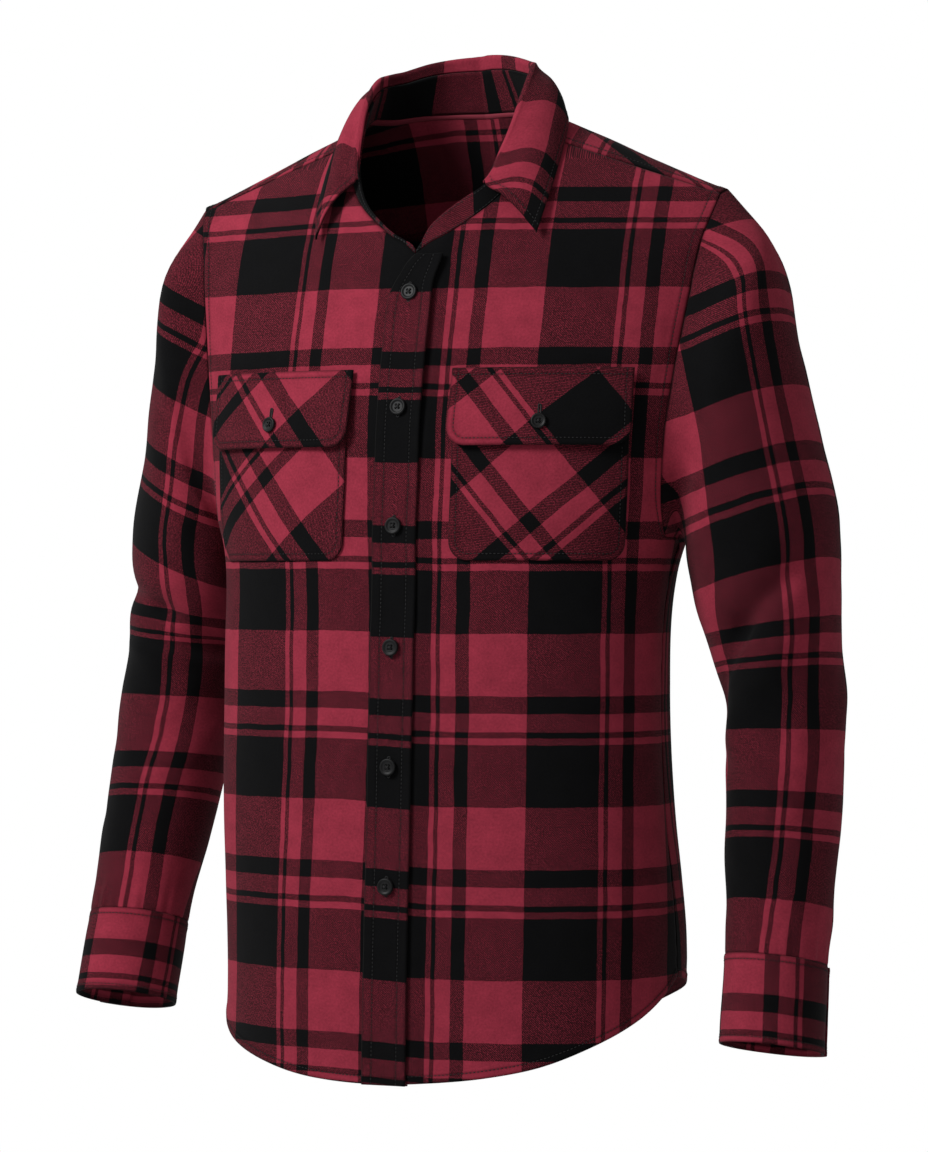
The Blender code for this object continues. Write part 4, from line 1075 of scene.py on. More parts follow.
POCKET_IN, POCKET_OUT = 45.0, 184.0  # distances from the middle of the front
POCKET_TOP, POCKET_BOTTOM = -206.0, -349.0
FLAP_TOP, FLAP_BOTTOM = -199.5, -260.0
CORNER = 15.0
PATCH_STEP = 2.4  # between rows and columns away from the edges
POCKET_MIDDLE, POCKET_HALF = (POCKET_IN + POCKET_OUT) / 2, (POCKET_OUT - POCKET_IN) / 2
FLAP_MIDDLE, FLAP_HALF = (POCKET_IN - 3 + POCKET_OUT) / 2, (POCKET_OUT - POCKET_IN + 3) / 2


def edge_distance(x, z, half, bottom):
    """Distance inwards from the sides and bottom of a shape whose lower corners are rounded."""
    a, b = np.abs(x) - (half - CORNER), bottom + CORNER - z
    return CORNER - np.minimum(np.maximum(a, b), 0) - np.hypot(np.maximum(a, 0), np.maximum(b, 0))


def patch_flat(middle, half, top, bottom):
    """(reach, height) over a patch with rounded lower corners: closer rows and columns near the edges."""
    rim = np.arange(0, 9.1, 1.1)
    turn = CORNER * (1 - np.cos(np.linspace(0, np.pi / 2, 12)))
    inner_z = np.linspace(top - 11, bottom + CORNER + 2, round((top - bottom - 26) / PATCH_STEP))
    inner_x = np.linspace(11 - half, half - 11, round((2 * half - 22) / PATCH_STEP))
    z = np.r_[top - rim, inner_z, bottom + turn[::-1]]
    s = np.r_[rim - half, inner_x, half - rim[::-1]] / half
    up = np.clip(z - bottom, 0, CORNER)
    width = half - CORNER + np.sqrt(np.maximum(CORNER**2 - (CORNER - up) ** 2, 0))
    return middle + width[:, None] * s[None, :], np.broadcast_to(z[:, None], (len(z), len(s)))


def inset_line(middle, half, top, bottom, row):
    """Down one side, round both lower corners and up the other side of a patch, `row` mm inside its edge."""
    arc = np.linspace(0, np.pi / 2, 9)
    r = CORNER - row
    x = np.r_[half - row, half - CORNER + r * np.cos(arc)]
    z = np.r_[top, bottom + CORNER - r * np.sin(arc)]
    return np.r_[-x, x[::-1]] + middle, np.r_[z, z[::-1]]


print("pocket:", 2 * POCKET_HALF, "by", POCKET_TOP - POCKET_BOTTOM, "mm")
print("flap:", 2 * FLAP_HALF, "by", FLAP_TOP - FLAP_BOTTOM, "mm")

# %% [markdown]
# ## The cloth pieces
#
# Each surface is pushed along its own normals by its relief: sewn edges, small puckers beside the
# stitches, and the slow unevenness of worn, washed cloth. Each piece was cut from its own place on the
# roll, with its own grain, and its cloth coordinates are turned and counted from there.

# %% Where each piece was cut from the roll of cloth
ROLL = {
    # turn to the grain in degrees, -1 if the cloth's other face shows, then where the repeat starts across
    # and up, in mm
    "front": (0, 1, -27.0, 3.4), "back": (0, 1, 23.0, 3.4),
    "placket": (0, 1, -29.0, -0.6), "yoke": (180, 1, 65.5, 119.7),
    "sleeve_left": (0, 1, 14.5, 46.5), "sleeve_right": (0, 1, 30.5, 69.5),
    "cuff_left": (0, -1, 106.3, 20.0), "cuff_right": (0, -1, 88.3, 40.7),
    "collar_stand": (-90, 1, -12.0, 94.5), "collar_leaf": (-90, 1, 28.0, 85.0),
    "pocket_left": (-40.3, 1, 26.4, 66.0), "pocket_right": (50.4, 1, 50.0, 61.9),
    "flap_left": (140.0, 1, 47.8, 26.5), "flap_right": (48.2, 1, 114.0, 120.0),
}
# How worn cloth has settled: how far its threads have moved across and down, at heights on the cloth.
BODY_EASE = np.array([
    # height on the cloth, left front across, down, right front across, down
    (260, 0, 3, -3, 4.5), (190, 0, 2.2, -2.5, 3.7), (90, 0, 1, 0.5, 2.5), (-30, 0, 0.5, 6.5, 2.5),
    (-105, 1, 1.5, 7.5, 4.7), (-190, 1, 2.7, 5.5, 7.3), (-270, 1.5, 4.5, 4.5, 9), (-400, 1.5, 7, 4.5, 12),
], float)
ARM_EASE = {
    1: np.array([
        # height on the cloth, across, down
        (250, -6, -20), (163, -6, -21), (115, -6, -21.5), (65, -5, -16), (28, -4.5, -20),
        (-15, -2, -13.5), (-60, 0, -3), (-90, -1, -0.5), (-138, -1.5, 0.5), (-400, -2, -1),
    ], float),
    -1: np.array([
        (250, 18, -48), (161, 18, -44), (122, 18, -35), (72, 15, -29), (42, 14, -28), (-5, 9, -25),
        (-48, 2, -13), (-75, 1, -1), (-116, 0, -1), (-200, -12, -1.5), (-276, -21, -3), (-400, -24, -3),
    ], float),
}
DOUBLE_WALL, COLLAR_WALL = 1.9, 1.8  # two layers of the cloth, pressed; the collar's a little flatter
SURFACES = {}


def on_roll(uv, key):
    """A piece's own coordinates turned to the grain and counted from the start of a repeat."""
    turn, face, across, up = ROLL[key]
    a = np.radians(turn)
    u, v = uv[..., 0], uv[..., 1]
    return np.stack([face * (u * np.cos(a) - v * np.sin(a)) - across, u * np.sin(a) + v * np.cos(a) - up], -1)


def settled_body(uv):
    """The body's cloth coordinates after settling: the table's left and right columns, blended."""
    u, v = uv[..., 0], uv[..., 1]
    left = np.clip(0.5 + u / 80, 0, 1)
    move = smooth(v, BODY_EASE[:, 0], BODY_EASE[:, 1:])
    move = move[..., 2:] * (1 - left[..., None]) + move[..., :2] * left[..., None]
    near_arm = 12 * ease((-u - 115) / 70) * ease((v - 60) / 120)
    return np.stack([u - move[..., 0] + near_arm, v - move[..., 1]], -1)


def settled_arm(side, uv):
    """The same for a sleeve. On the left one the upper arm's threads also tilt down towards the outside."""
    u, v = uv[..., 0], uv[..., 1]
    move = smooth(v, ARM_EASE[side][:, 0], ARM_EASE[side][:, 1:])
    tilt = 0.08 * (u + 70) * np.clip((v + 60) / 50, 0, 1) * (side > 0)
    return np.stack([u - move[..., 0], v - move[..., 1] + tilt], -1)


def sewn(node, grid, uv, relief, key=None, centre=None, closed=False, wall=WALL, rows=slice(None)):
    """Push a surface along its normals by its relief and make it a cloth piece that replaces its CAD node.

    `key` names its place on the roll if that isn't under the node's own name, and `centre` a point inside.
    """
    out = outward(grid, body_centre(grid) if centre is None else centre, closed, rows)
    shaped = grid + out * relief.real[..., None]
    # The relief's imaginary part is painted shade for the grooves and edges.
    piece = cloth(f"{node}_cloth", shaped, on_roll(uv, key or node), out, closed, wall, relief.imag)
    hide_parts(node)
    SURFACES[node] = (shaped, out)


def soft(uv, size, height, seed, edges, reach=22.0):
    """Slow unevenness that fades towards the piece's edges."""
    fade = ease(np.minimum.reduce([np.broadcast_to(e, uv.shape[:2]) for e in edges]) / reach)
    return noise(uv[..., 0], uv[..., 1] * 0.55, size, seed) * height * fade


def seam_dip(d, along, seed, depth=0.35, pucker=0.25, reach=5.0):
    """A seam with no stitches on this side: the cloth dips to it and puckers, and painted shade darkens the
    dip.
    """
    # The imaginary part is painted shade in the seam's dip.
    dip = -depth * np.exp(-((d / 1.7) ** 2)) + 1j * np.exp(-((d / 1.3) ** 2))
    return dip + pucker * noise(along, d * 0.4, 8.0, seed) * np.exp(-((d / reach) ** 2))


# %% Fronts
def front_piece(side, word):
    """A front: hemmed below, stitched beside the armhole, and seamed to the side, the yoke and the stand."""
    grid, (p, rows) = FRONTS[side], FINE["front", side]
    uv = cloth_on_body(side, -1, p)
    hem, top, free, edge = edge_distances(grid)
    sleeve = ease((rows[:, None] - LOW_ROWS) / 0.4)
    neck = ease((rows[:, None] - NECK_ROW + 0.2) / 0.3)
    u, v = uv[..., 0], uv[..., 1]
    relief = hem_relief(hem, u, HEM_ROW, 0.5, 11)
    relief += sleeve * hem_relief(edge, v, ARM_ROW, 0.55, 12) + (1 - sleeve) * seam_dip(edge, v, 13)
    relief += seam_dip(top, u, 14) * (1 - 0.5 * sleeve) + neck * seam_dip(free, v, 15)
    for size, height, seed in ((85.0, 1.5, 16), (34.0, 0.35, 18)):
        relief += soft(uv, size, height, seed + side, (hem, top, edge))
    sewn(f"front_{word}", grid, settled_body(uv), relief, "front")


for side, word in SIDES:
    front_piece(side, word)

# %% Back
right_uv, left_uv = (cloth_on_body(side, 1, FINE["back", side][0]) for side in (-1, 1))
back_grid = np.concatenate([BACKS[-1][:, ::-1], BACKS[1][:, 1:]], axis=1)
back_uv = np.concatenate([right_uv[:, ::-1], left_uv[:, 1:]], axis=1)
hem, top, first, last = edge_distances(back_grid)
edge = np.minimum(first, last)
sleeve = ease((FINE["back", 1][1][:, None] - LOW_ROWS) / 0.4)
u, v = back_uv[..., 0], back_uv[..., 1]
back_relief = hem_relief(hem, u, HEM_ROW, 0.5, 21) + seam_dip(top, u, 22)
back_relief += sleeve * hem_relief(edge, v, ARM_ROW, 0.55, 23) + (1 - sleeve) * seam_dip(edge, v, 24)
for size, height, seed in ((95.0, 2.2, 25), (36.0, 0.4, 26)):
    back_relief += soft(back_uv, size, height, seed, (hem, top, edge))
back_relief[-1] -= 1.0
# The top edge goes on for 3 mm under the yoke, so that no light comes through the seam.
under = np.array([0.0, 0.0, 3.0])
back_grid = np.concatenate([back_grid, back_grid[-1:] + under])
back_uv = np.concatenate([back_uv, back_uv[-1:] + under[1:]])
back_relief = np.concatenate([back_relief, back_relief[-1:] - 0.8])
sewn("back", back_grid, settled_body(back_uv), back_relief)

# %% Yoke
YOKE_DEPTH = 96.0  # from the back seam up to the ridge, at the middle of the shoulder
YOKE_X, YOKE_PSI = np.arange(0, 262.0, 2), np.linspace(-84, 88, 173)


def yoke_uv(side):
    """Across: the length along the ridge. Up: the length over the shoulder from the back seam."""
    p = YOKES[side][1]
    x, psi = np.abs(p[..., 0]), p[..., 1]
    ridge = np.interp(x, YOKE_X, run_along(over_ridge(1, YOKE_X, np.zeros(len(YOKE_X))), 0))
    over = run_along(over_ridge(1, YOKE_X[None, :], YOKE_PSI[:, None]), 0)
    top = COARSE["back", side][-1]
    seam_psi = np.interp(x, np.abs(top[:, 0]), psi_of(1, np.abs(top[:, 0]), top[:, 2]))
    back = look_up(over, YOKE_PSI, YOKE_X, seam_psi, x) - look_up(over, YOKE_PSI, YOKE_X, psi, x)
    return np.stack([side * ridge, YOKE_DEPTH - back], -1)


yoke_grid = np.concatenate([YOKES[-1][0], YOKES[1][0][::-1][1:]])
yoke_cloth_uv = np.concatenate([yoke_uv(-1), yoke_uv(1)[::-1][1:]])
first, last, neck, outer = edge_distances(yoke_grid)
seam = np.minimum(first, last)
u, v = yoke_cloth_uv[..., 0], yoke_cloth_uv[..., 1]
yoke_relief = hem_relief(seam, u, YOKE_ROW, 0.5, 31) + hem_relief(outer, u + v, YOKE_ARM_ROW, 0.5, 32)
yoke_relief += seam_dip(neck, v, 33) + soft(yoke_cloth_uv, 60.0, 0.8, 34, (seam, outer, neck))
sewn("yoke", yoke_grid, yoke_cloth_uv, yoke_relief)

# %% Sleeves
CREASES = {
    # from and to, each an angle from the inner side times ARM_DEGREE and a height, then depth and width
    1: [
        ((115, -366), (76, -404), 2.4, 8),
        ((76, -404), (27, -450), 2.2, 8),
        ((20, -500), (60, -520), 0.8, 9),
    ],
    -1: [
        ((128, -376), (82, -391), 2.3, 8),
        ((82, -391), (24, -417), 2.2, 7),
        ((115, -409), (26, -424), 1.9, 7),
    ],
}


def sleeve_piece(side, word):
    """A sleeve: its noise is read on a circle round the arm, so that it meets itself at the inner side."""
    grid, beta = SLEEVES[side]
    z = grid[..., 2]
    cap = run_along(grid, 0)
    wrist = cap[-1] - cap
    p, q = (f(np.radians(beta)) * 40 + 200 for f in (np.cos, np.sin))
    relief = seam_dip(cap, p * 2, 41 + side, 0.45, 0.5, 8.0)
    gathers = 0.8 * noise(beta, wrist * 0.12, 7.5, 44 + side)
    relief += gathers * np.exp(-((wrist / 26) ** 2)) - 0.3 * np.exp(-((wrist / 2) ** 2))
    fade = ease(np.minimum(cap, wrist) / 40)
    relief += fade * 1.7 * noise(p + z * 0.2, z + q, 46.0, 47 + side)
    relief += fade * 0.5 * noise(p * 1.4, z + q * 1.3, 21.0, 50 + side)
    for a, b, depth, width in CREASES[side]:
        relief += fade * crease(np.stack([beta * ARM_DEGREE, z], -1), a, b, depth, width)
    uv, centre = settled_arm(side, SLEEVE_UV[side]), grid.mean(axis=1, keepdims=True)
    sewn(f"sleeve_{word}", grid, uv, relief, centre=centre, closed=True)


for side, word in SIDES:
    sleeve_piece(side, word)


# %% Cuffs
def cuff_piece(side, word):
    """A cuff, stitched along both long edges and at the end that shows."""
    grid, _ = CUFFS[side]
    top, bottom, _, last = edge_distances(grid)
    u, v = CUFF_UV[side][..., 0], CUFF_UV[side][..., 1]
    relief = hem_relief(top, u, CUFF_ROW, 0.3, 51) + hem_relief(bottom, u, CUFF_ROW, 0.3, 52)
    relief += hem_relief(last, v, CUFF_ROW, 0.3, 53) + soft(CUFF_UV[side], 30.0, 0.6, 54, (top, bottom, last))
    centre = grid.mean(axis=1, keepdims=True)
    sewn(f"cuff_{word}", grid, CUFF_UV[side], relief, centre=centre, wall=DOUBLE_WALL)


for side, word in SIDES:
    cuff_piece(side, word)

# %% Collar
neck_run = run_along(NECK, 0)
neck_run -= np.interp(0.5, np.linspace(0, 1, len(NECK)), neck_run)
bottom = run_along(STAND_GRID, 0)
stand_uv = np.stack(np.broadcast_arrays(neck_run[None, :], bottom), -1)
stand_relief = seam_dip(bottom, stand_uv[..., 0], 61, 0.2, 0.1)
sewn("collar_stand", STAND_GRID, stand_uv, stand_relief, wall=COLLAR_WALL)

inner, outer, first, last = edge_distances(LEAF_GRID)
leaf_run = run_along(LEAF_GRID, 1)
leaf_run -= leaf_run[:, [150]]
leaf_uv = np.stack([leaf_run, inner], -1)
# The leaf's grain leans a little on both wings, and its cloth is eased in as it goes round the neck.
lean = 0.113 * np.clip(leaf_run / 60, -1, 1)
eased_in = 41 * ease((leaf_run + 10) / 150) - 6 * ease((-20 - leaf_run) / 130)
eased_in += 0.18 * (inner - 62) * ease((leaf_run - 60) / 90)
leaf_grain = np.stack([0.994 * leaf_run + lean * inner - eased_in, 0.994 * inner - lean * leaf_run], -1)
leaf_edge = np.minimum(outer, np.minimum(first, last) + 50 * (inner < 12))
leaf_relief = hem_relief(leaf_edge, leaf_run, LEAF_ROW, 0.25, 62)
leaf_relief += soft(leaf_uv, 40.0, 0.5, 63, (inner, outer, first, last))
leaf_centre, fall = LEAF_GRID.reshape(-1, 3).mean(axis=0), slice(-12, None)
sewn("collar_leaf", LEAF_GRID, leaf_grain, leaf_relief, centre=leaf_centre, wall=COLLAR_WALL, rows=fall)

# %% Placket
def placket_lift(z):
    """How far the placket lies over the front at a height: a little more near the collar."""
    return 1.9 + 0.9 * ease((z + 260) / 60)


rim = np.arange(0, 9, 1.2)
placket_z = np.r_[-107.5 - rim, np.arange(-118.0, HEM[0, 1] + 10, -2.6), HEM[0, 1] + 8.6 - rim]
outer = smooth(placket_z, FREE_EDGE[:, 0], FREE_EDGE[:, 1]) - EDGE_LAP
inner = EDGE_LAP + 0.5 + 5.5 * ease((placket_z + 135) / 30)
reach = outer[:, None] + (inner - outer)[:, None] * np.linspace(0, 1, 33)[None, :]
level = np.broadcast_to(placket_z[:, None], reach.shape)
placket_grid, _ = on_front(1, reach, level, placket_lift(level))
_, bottom, free, inside = edge_distances(placket_grid)
placket_uv = flat_uv(1, reach, level)
v = placket_uv[..., 1]
relief = hem_relief(free, v, PLACKET_ROW, 0.25, 71) + hem_relief(inside, v, PLACKET_ROW, 0.25, 72)
relief += hem_relief(bottom, v, HEM_ROW, 0.3, 73) + 0.35 * noise(reach, v, 26.0, 74)
relief += (0.9 + 0.25 * noise(v, v * 0, 9.0, 75)) * np.exp(-((inside / 5.0) ** 2))
sewn("placket", placket_grid, settled_body(placket_uv), relief)


# %% Pockets and flaps
def pocket_lift(reach, z):
    """How far a pocket lies over the front: it bulges a little in the middle."""
    s = (reach - POCKET_MIDDLE) / POCKET_HALF
    return 2.5 + 0.9 * (1 - s**4) * ease((z - POCKET_BOTTOM) / 40)


def pocket_piece(side, word):
    reach, z = patch_flat(POCKET_MIDDLE, POCKET_HALF, POCKET_TOP, POCKET_BOTTOM)
    grid, _ = on_front(side, reach, z, pocket_lift(reach, z))
    uv = flat_uv(side, reach, z)
    d = edge_distance(reach - POCKET_MIDDLE, z, POCKET_HALF, POCKET_BOTTOM)
    relief = hem_relief(d, uv[..., 0] + uv[..., 1], PATCH_ROW, 0.45, 81)
    relief += soft(uv, 45.0, 0.7, 82 + side, (d,))
    sewn(f"pocket_{word}", grid, uv, relief)


def flap_lift(reach, z):
    """How far a flap lies over the front: more towards its lower edge and corners."""
    down = ease((FLAP_TOP - z) / (FLAP_TOP - FLAP_BOTTOM))
    s = np.abs(reach - FLAP_MIDDLE) / FLAP_HALF
    return 5.1 + down * (3.0 + 0.8 * s**3)


def flap_piece(side, word):
    reach, z = patch_flat(FLAP_MIDDLE, FLAP_HALF, FLAP_TOP, FLAP_BOTTOM)
    grid, _ = on_front(side, reach, z, flap_lift(reach, z))
    uv = flat_uv(side, reach, z)
    d = edge_distance(reach - FLAP_MIDDLE, z, FLAP_HALF, FLAP_BOTTOM)
    across = uv[..., 0] + uv[..., 1]
    relief = hem_relief(d, across, PATCH_ROW, 0.3, 91) + hem_relief(FLAP_TOP - z, across, PATCH_ROW, 0.3, 92)
    relief += soft(uv, 35.0, 0.4, 93 + side, (d, FLAP_TOP - z))
    sewn(f"flap_{word}", grid, uv, relief, wall=DOUBLE_WALL)


for side, word in SIDES:
    pocket_piece(side, word)
    flap_piece(side, word)

for obj, wide, long, area in PIECES:
    print(f"{obj.name}: {wide / MM:.0f} x {long / MM:.0f} mm of cloth, {len(obj.data.polygons)} faces")

# %% [markdown]
# ## Neck tape
#
# Inside the back of the neck, a narrow red tape covers the seam between the yoke and the collar. It
# follows the yoke's neckline on the inside and is a little rounded, as a folded tape is.

# %% Neck tape
TAPE_COLS = 6  # columns of the yoke, counted from the neckline, that the tape covers
grid, out = (part[:, :TAPE_COLS] for part in SURFACES["yoke"])
bulge = np.sin(np.linspace(0, np.pi, TAPE_COLS)) * 0.7
tape_grid = grid - out * (WALL + 0.15 + bulge[None, :, None])
TAPE = cloth("neck_tape", tape_grid, yoke_cloth_uv[:, :TAPE_COLS], -out, wall=0.6)
PIECES.pop()
print("tape:", len(TAPE.data.polygons), "faces")

# %% [markdown]
# ## Stitching
#
# Topstitching is a row of short thread bridges with gaps between them. One stitch is a small capsule
# whose ends dip into the cloth. A row is a line on the finished surface, a fixed distance inside an edge,
# and the stitches are laid along it at even spacing. Home sewing thread is about 0.3 mm thick; these are
# a little thicker, so that they show.

# %% Stitch maker
STITCH_PITCH, STITCH_LENGTH, THREAD_R = 3.1, 2.4, 0.36
THREADS = []


def capsules(centre, along, up, length, radius):
    """Closed capsules of 20 faces each: three 5-sided rings and two poles, bent like a bridge."""
    s = np.array([-0.72, 0.0, 0.72])
    ring = np.linspace(0, 2 * np.pi, 5, endpoint=False)
    side = np.cross(along, up)
    half = np.asarray(length, float)[:, None, None] / 2

    def place(t, out, across, rise):
        return (centre[:, None] + along[:, None] * (half[..., 0] * t)[..., None]
                + side[:, None] * (across * out)[..., None] + up[:, None] * rise[..., None])

    arch = radius * (0.55 - 1.3 * s**2)
    t = np.repeat(s, 5)[None, :]
    thick = np.repeat(radius * np.array([0.8, 1, 0.8]), 5)[None, :]
    turn = np.tile(ring, 3)[None, :]
    body_points = place(t, np.cos(turn), thick, np.repeat(arch, 5)[None, :] + thick * np.sin(turn))
    ends = place(np.array([[-1.0, 1.0]]), 0.0, np.zeros((1, 2)), np.full((1, 2), -0.9 * radius))
    points = np.concatenate([ends[:, :1], body_points, ends[:, 1:]], axis=1)
    faces = []
    for j in range(5):
        k = (j + 1) % 5
        faces += [(0, 1 + k, 1 + j, 1 + j), (16, 11 + j, 11 + k, 11 + k)]
        faces += [(1 + j, 1 + k, 6 + k, 6 + j), (6 + j, 6 + k, 11 + k, 11 + j)]
    first = np.arange(len(centre))[:, None, None] * 17
    return points.reshape(-1, 3), (np.array(faces)[None] + first).reshape(-1, 4)


def along_line(points, normals_there, pitch=STITCH_PITCH):
    """Evenly spaced places along a line: centres, directions and normals."""
    run = run_along(points, 0)
    count = max(int((run[-1] - 1.5) / pitch), 1)
    at = np.linspace(pitch / 2, run[-1] - pitch / 2, count)
    centre, up = read_at(at, run, points), read_at(at, run, normals_there)
    ahead = read_at(at + 0.8, run, points) - read_at(at - 0.8, run, points)
    ahead /= np.maximum(np.linalg.norm(ahead, axis=1, keepdims=True), 1e-9)
    up -= ahead * np.sum(up * ahead, axis=1, keepdims=True)
    return centre, ahead, up / np.linalg.norm(up, axis=1, keepdims=True)


def line_inside(node, edge, row, span=slice(None)):
    """The line `row` mm inside edge 0 (first row), 1 (last row), 2 (first column) or 3 (last)."""
    grid, out = SURFACES[node]
    d = edge_distances(grid)[edge]
    if edge < 2:
        grid, out, d = grid.transpose(1, 0, 2), out.transpose(1, 0, 2), d.T
    if edge % 2:
        grid, out, d = grid[:, ::-1], out[:, ::-1], d[:, ::-1]
    grid, out, d = grid[span], out[span], d[span]
    return [np.array([read_at(row, b, a) for a, b in zip(part, d)]) for part in (grid, out)]


def thread_mesh(name, points, faces):
    """A mesh of quads and triangles; a triangle is a quad whose last corner is given twice."""
    obj = mesh_from(name, points, [f[:3] if f[2] == f[3] else f for f in np.asarray(faces).tolist()])
    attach(obj, "root")
    THREADS.append(obj)


def stitching(name, lines):
    """Rows of stitches along lines of points and normals, as one mesh."""
    rows = [along_line(*line) for line in lines]
    centre, ahead, up = (np.concatenate([row[i] for row in rows]) for i in range(3))
    thread_mesh(name, *capsules(centre, ahead, up, np.full(len(centre), STITCH_LENGTH), THREAD_R))
    print(name, len(centre), "stitches")


# %% Rows of stitching
arm = {s: slice(row_of(FINE["front", s][1], LOW_ROWS), None) for s in (1, -1)}
back_arm = slice(row_of(FINE["back", 1][1], LOW_ROWS), None)
body_lines = [line_inside("yoke", e, YOKE_ROW) for e in (0, 1)] + [line_inside("yoke", 3, YOKE_ARM_ROW)]
body_lines += [line_inside("back", 0, HEM_ROW)] + [line_inside("back", e, ARM_ROW, back_arm) for e in (2, 3)]
for side, word in SIDES:
    body_lines.append(line_inside(f"front_{word}", 0, HEM_ROW))
    body_lines.append(line_inside(f"front_{word}", 3, ARM_ROW, arm[side]))
stitching("body_stitching", body_lines)
stitching("placket_stitching", [line_inside("placket", e, PLACKET_ROW) for e in (2, 3)])
cuff_lines = [line_inside(f"cuff_{word}", e, CUFF_ROW) for _, word in SIDES for e in (0, 1, 3)]
stitching("cuff_stitching", cuff_lines)
fall = slice(16, None)
collar_lines = [line_inside("collar_leaf", 1, LEAF_ROW)]
collar_lines += [line_inside("collar_stand", 1, 2.0), line_inside("collar_stand", 0, 1.6)]
collar_lines += [line_inside("collar_leaf", e, LEAF_ROW, fall) for e in (2, 3)]
stitching("collar_stitching", collar_lines)


def patch_row(side, line, lift, rise):
    """A line drawn on the flat, read at 240 places and laid on the front, `rise` over its patch."""
    steps, own = np.linspace(0, len(line[0]) - 1, 240), np.arange(len(line[0]))
    reach, z = (np.interp(steps, own, part) for part in line)
    return on_front(side, reach, z, lift(reach, z) + rise)


pocket_line = inset_line(POCKET_MIDDLE, POCKET_HALF, FLAP_BOTTOM, POCKET_BOTTOM, PATCH_ROW)
flap_line = inset_line(FLAP_MIDDLE, FLAP_HALF, FLAP_TOP, FLAP_BOTTOM, PATCH_ROW)
across = np.linspace(FLAP_MIDDLE - FLAP_HALF + 1, FLAP_MIDDLE + FLAP_HALF - 1, 80)
level = np.full(80, FLAP_TOP - PATCH_ROW)
patch_lines = []
for side in (1, -1):
    patch_lines.append(patch_row(side, pocket_line, pocket_lift, 0.05))
    patch_lines.append(patch_row(side, flap_line, flap_lift, -0.1))
    patch_lines.append(on_front(side, across, level, flap_lift(across, level) - 0.1))
stitching("pocket_stitching", patch_lines)

# %% [markdown]
# ## Buttons and buttonholes
#
# A shirt button is a turned disc of polyester resin with a rounded rim, a shallow dish and four holes.
# The disc is a profile turned round its axis, and the holes are wells sunk into the dish. Thread crosses
# from hole to hole. A buttonhole is a slit edged with dense satin stitches, so it is made as a ribbed
# ring.

# %% Buttons
PROFILE = np.array([
    # shares of the radius and of the thickness, from the back round the rim to the edge of the dish
    (0.78, 0.0), (0.92, 0.08), (0.985, 0.25), (1.0, 0.45), (0.985, 0.68), (0.94, 0.88),
    (0.88, 0.99), (0.81, 1.0), (0.74, 0.93), (0.68, 0.82), (0.61, 0.75),
])
DISH = 0.73  # height of the dish's floor as a share of the thickness
HOLES = 0.185  # each hole's distance from the axis as a share of the radius, along both directions
HOLE_RADIUS, HOLE_DEPTH = 0.085, 0.6  # shares of the radius and of the thickness
FRONT_BUTTON, FLAP_BUTTON, CUFF_BUTTON = (6.8, 2.7), (6.2, 2.6), (6.1, 2.6)  # radius and thickness
BUTTON_Z = (-138.0, -229.0, -322.0, -417.0, -510.0, -603.0)
UP_DIRECTION = np.array([0.0, 0, 1])
BUTTONS, CROSSES = [], []


def turned_button(name, node, n, up, radius, thick):
    """A profile turned round the button's axis; four wells sink into the dish where the holes are."""
    low, high = (np.array(v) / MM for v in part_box(node))
    centre = (low + high) / 2
    e = np.cross(up, n)
    e /= np.linalg.norm(e)
    f = np.cross(n, e)
    dish = np.linspace(0.57, 0.03, 17)
    r = np.r_[PROFILE[:, 0], dish]
    h = np.r_[PROFILE[:, 1], np.full(len(dish), DISH)]
    turn = np.linspace(0, 2 * np.pi, 56, endpoint=False)
    x, y = r[:, None] * np.cos(turn), r[:, None] * np.sin(turn)
    near = np.hypot(np.abs(x) - HOLES, np.abs(y) - HOLES)
    height = h[:, None] - HOLE_DEPTH * (1 - ease((near - HOLE_RADIUS) / 0.05)) * (r[:, None] < 0.6)

    def world(a, b, c):
        flat = (a * radius)[..., None] * e + (b * radius)[..., None] * f
        return centre + flat + ((c - 0.5) * thick)[..., None] * n

    points = world(x, y, height)
    poles = world(np.zeros(2), np.zeros(2), np.array([0.0, DISH]))
    rows, cols = points.shape[:2]
    ids = np.arange(rows * cols).reshape(rows, cols)
    after = np.roll(ids, -1, axis=1)
    quads = np.stack([ids[:-1], after[:-1], after[1:], ids[1:]], -1).reshape(-1, 4)
    back = np.stack([np.full(cols, rows * cols), after[0], ids[0]], -1)
    front = np.stack([np.full(cols, rows * cols + 1), ids[-1], after[-1]], -1)
    faces = quads.tolist() + back.tolist() + front.tolist()
    obj = mesh_from(name, np.concatenate([points.reshape(-1, 3), poles]), faces)
    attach(obj, "root")
    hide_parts(node)
    BUTTONS.append(obj)
    corner = np.array([(-1, -1), (1, 1), (-1, 1), (1, -1)]) * HOLES
    top = world(corner[:, 0], corner[:, 1], np.full(4, 0.9))
    middle = np.array([top[0] + top[1], top[2] + top[3]]) / 2
    ahead = np.array([top[1] - top[0], top[3] - top[2]])
    long = np.linalg.norm(ahead, axis=1)
    middle[1] += n * 0.25
    CROSSES.append(capsules(middle, ahead / long[:, None], np.array([n, n]), long + 0.9, 0.42))


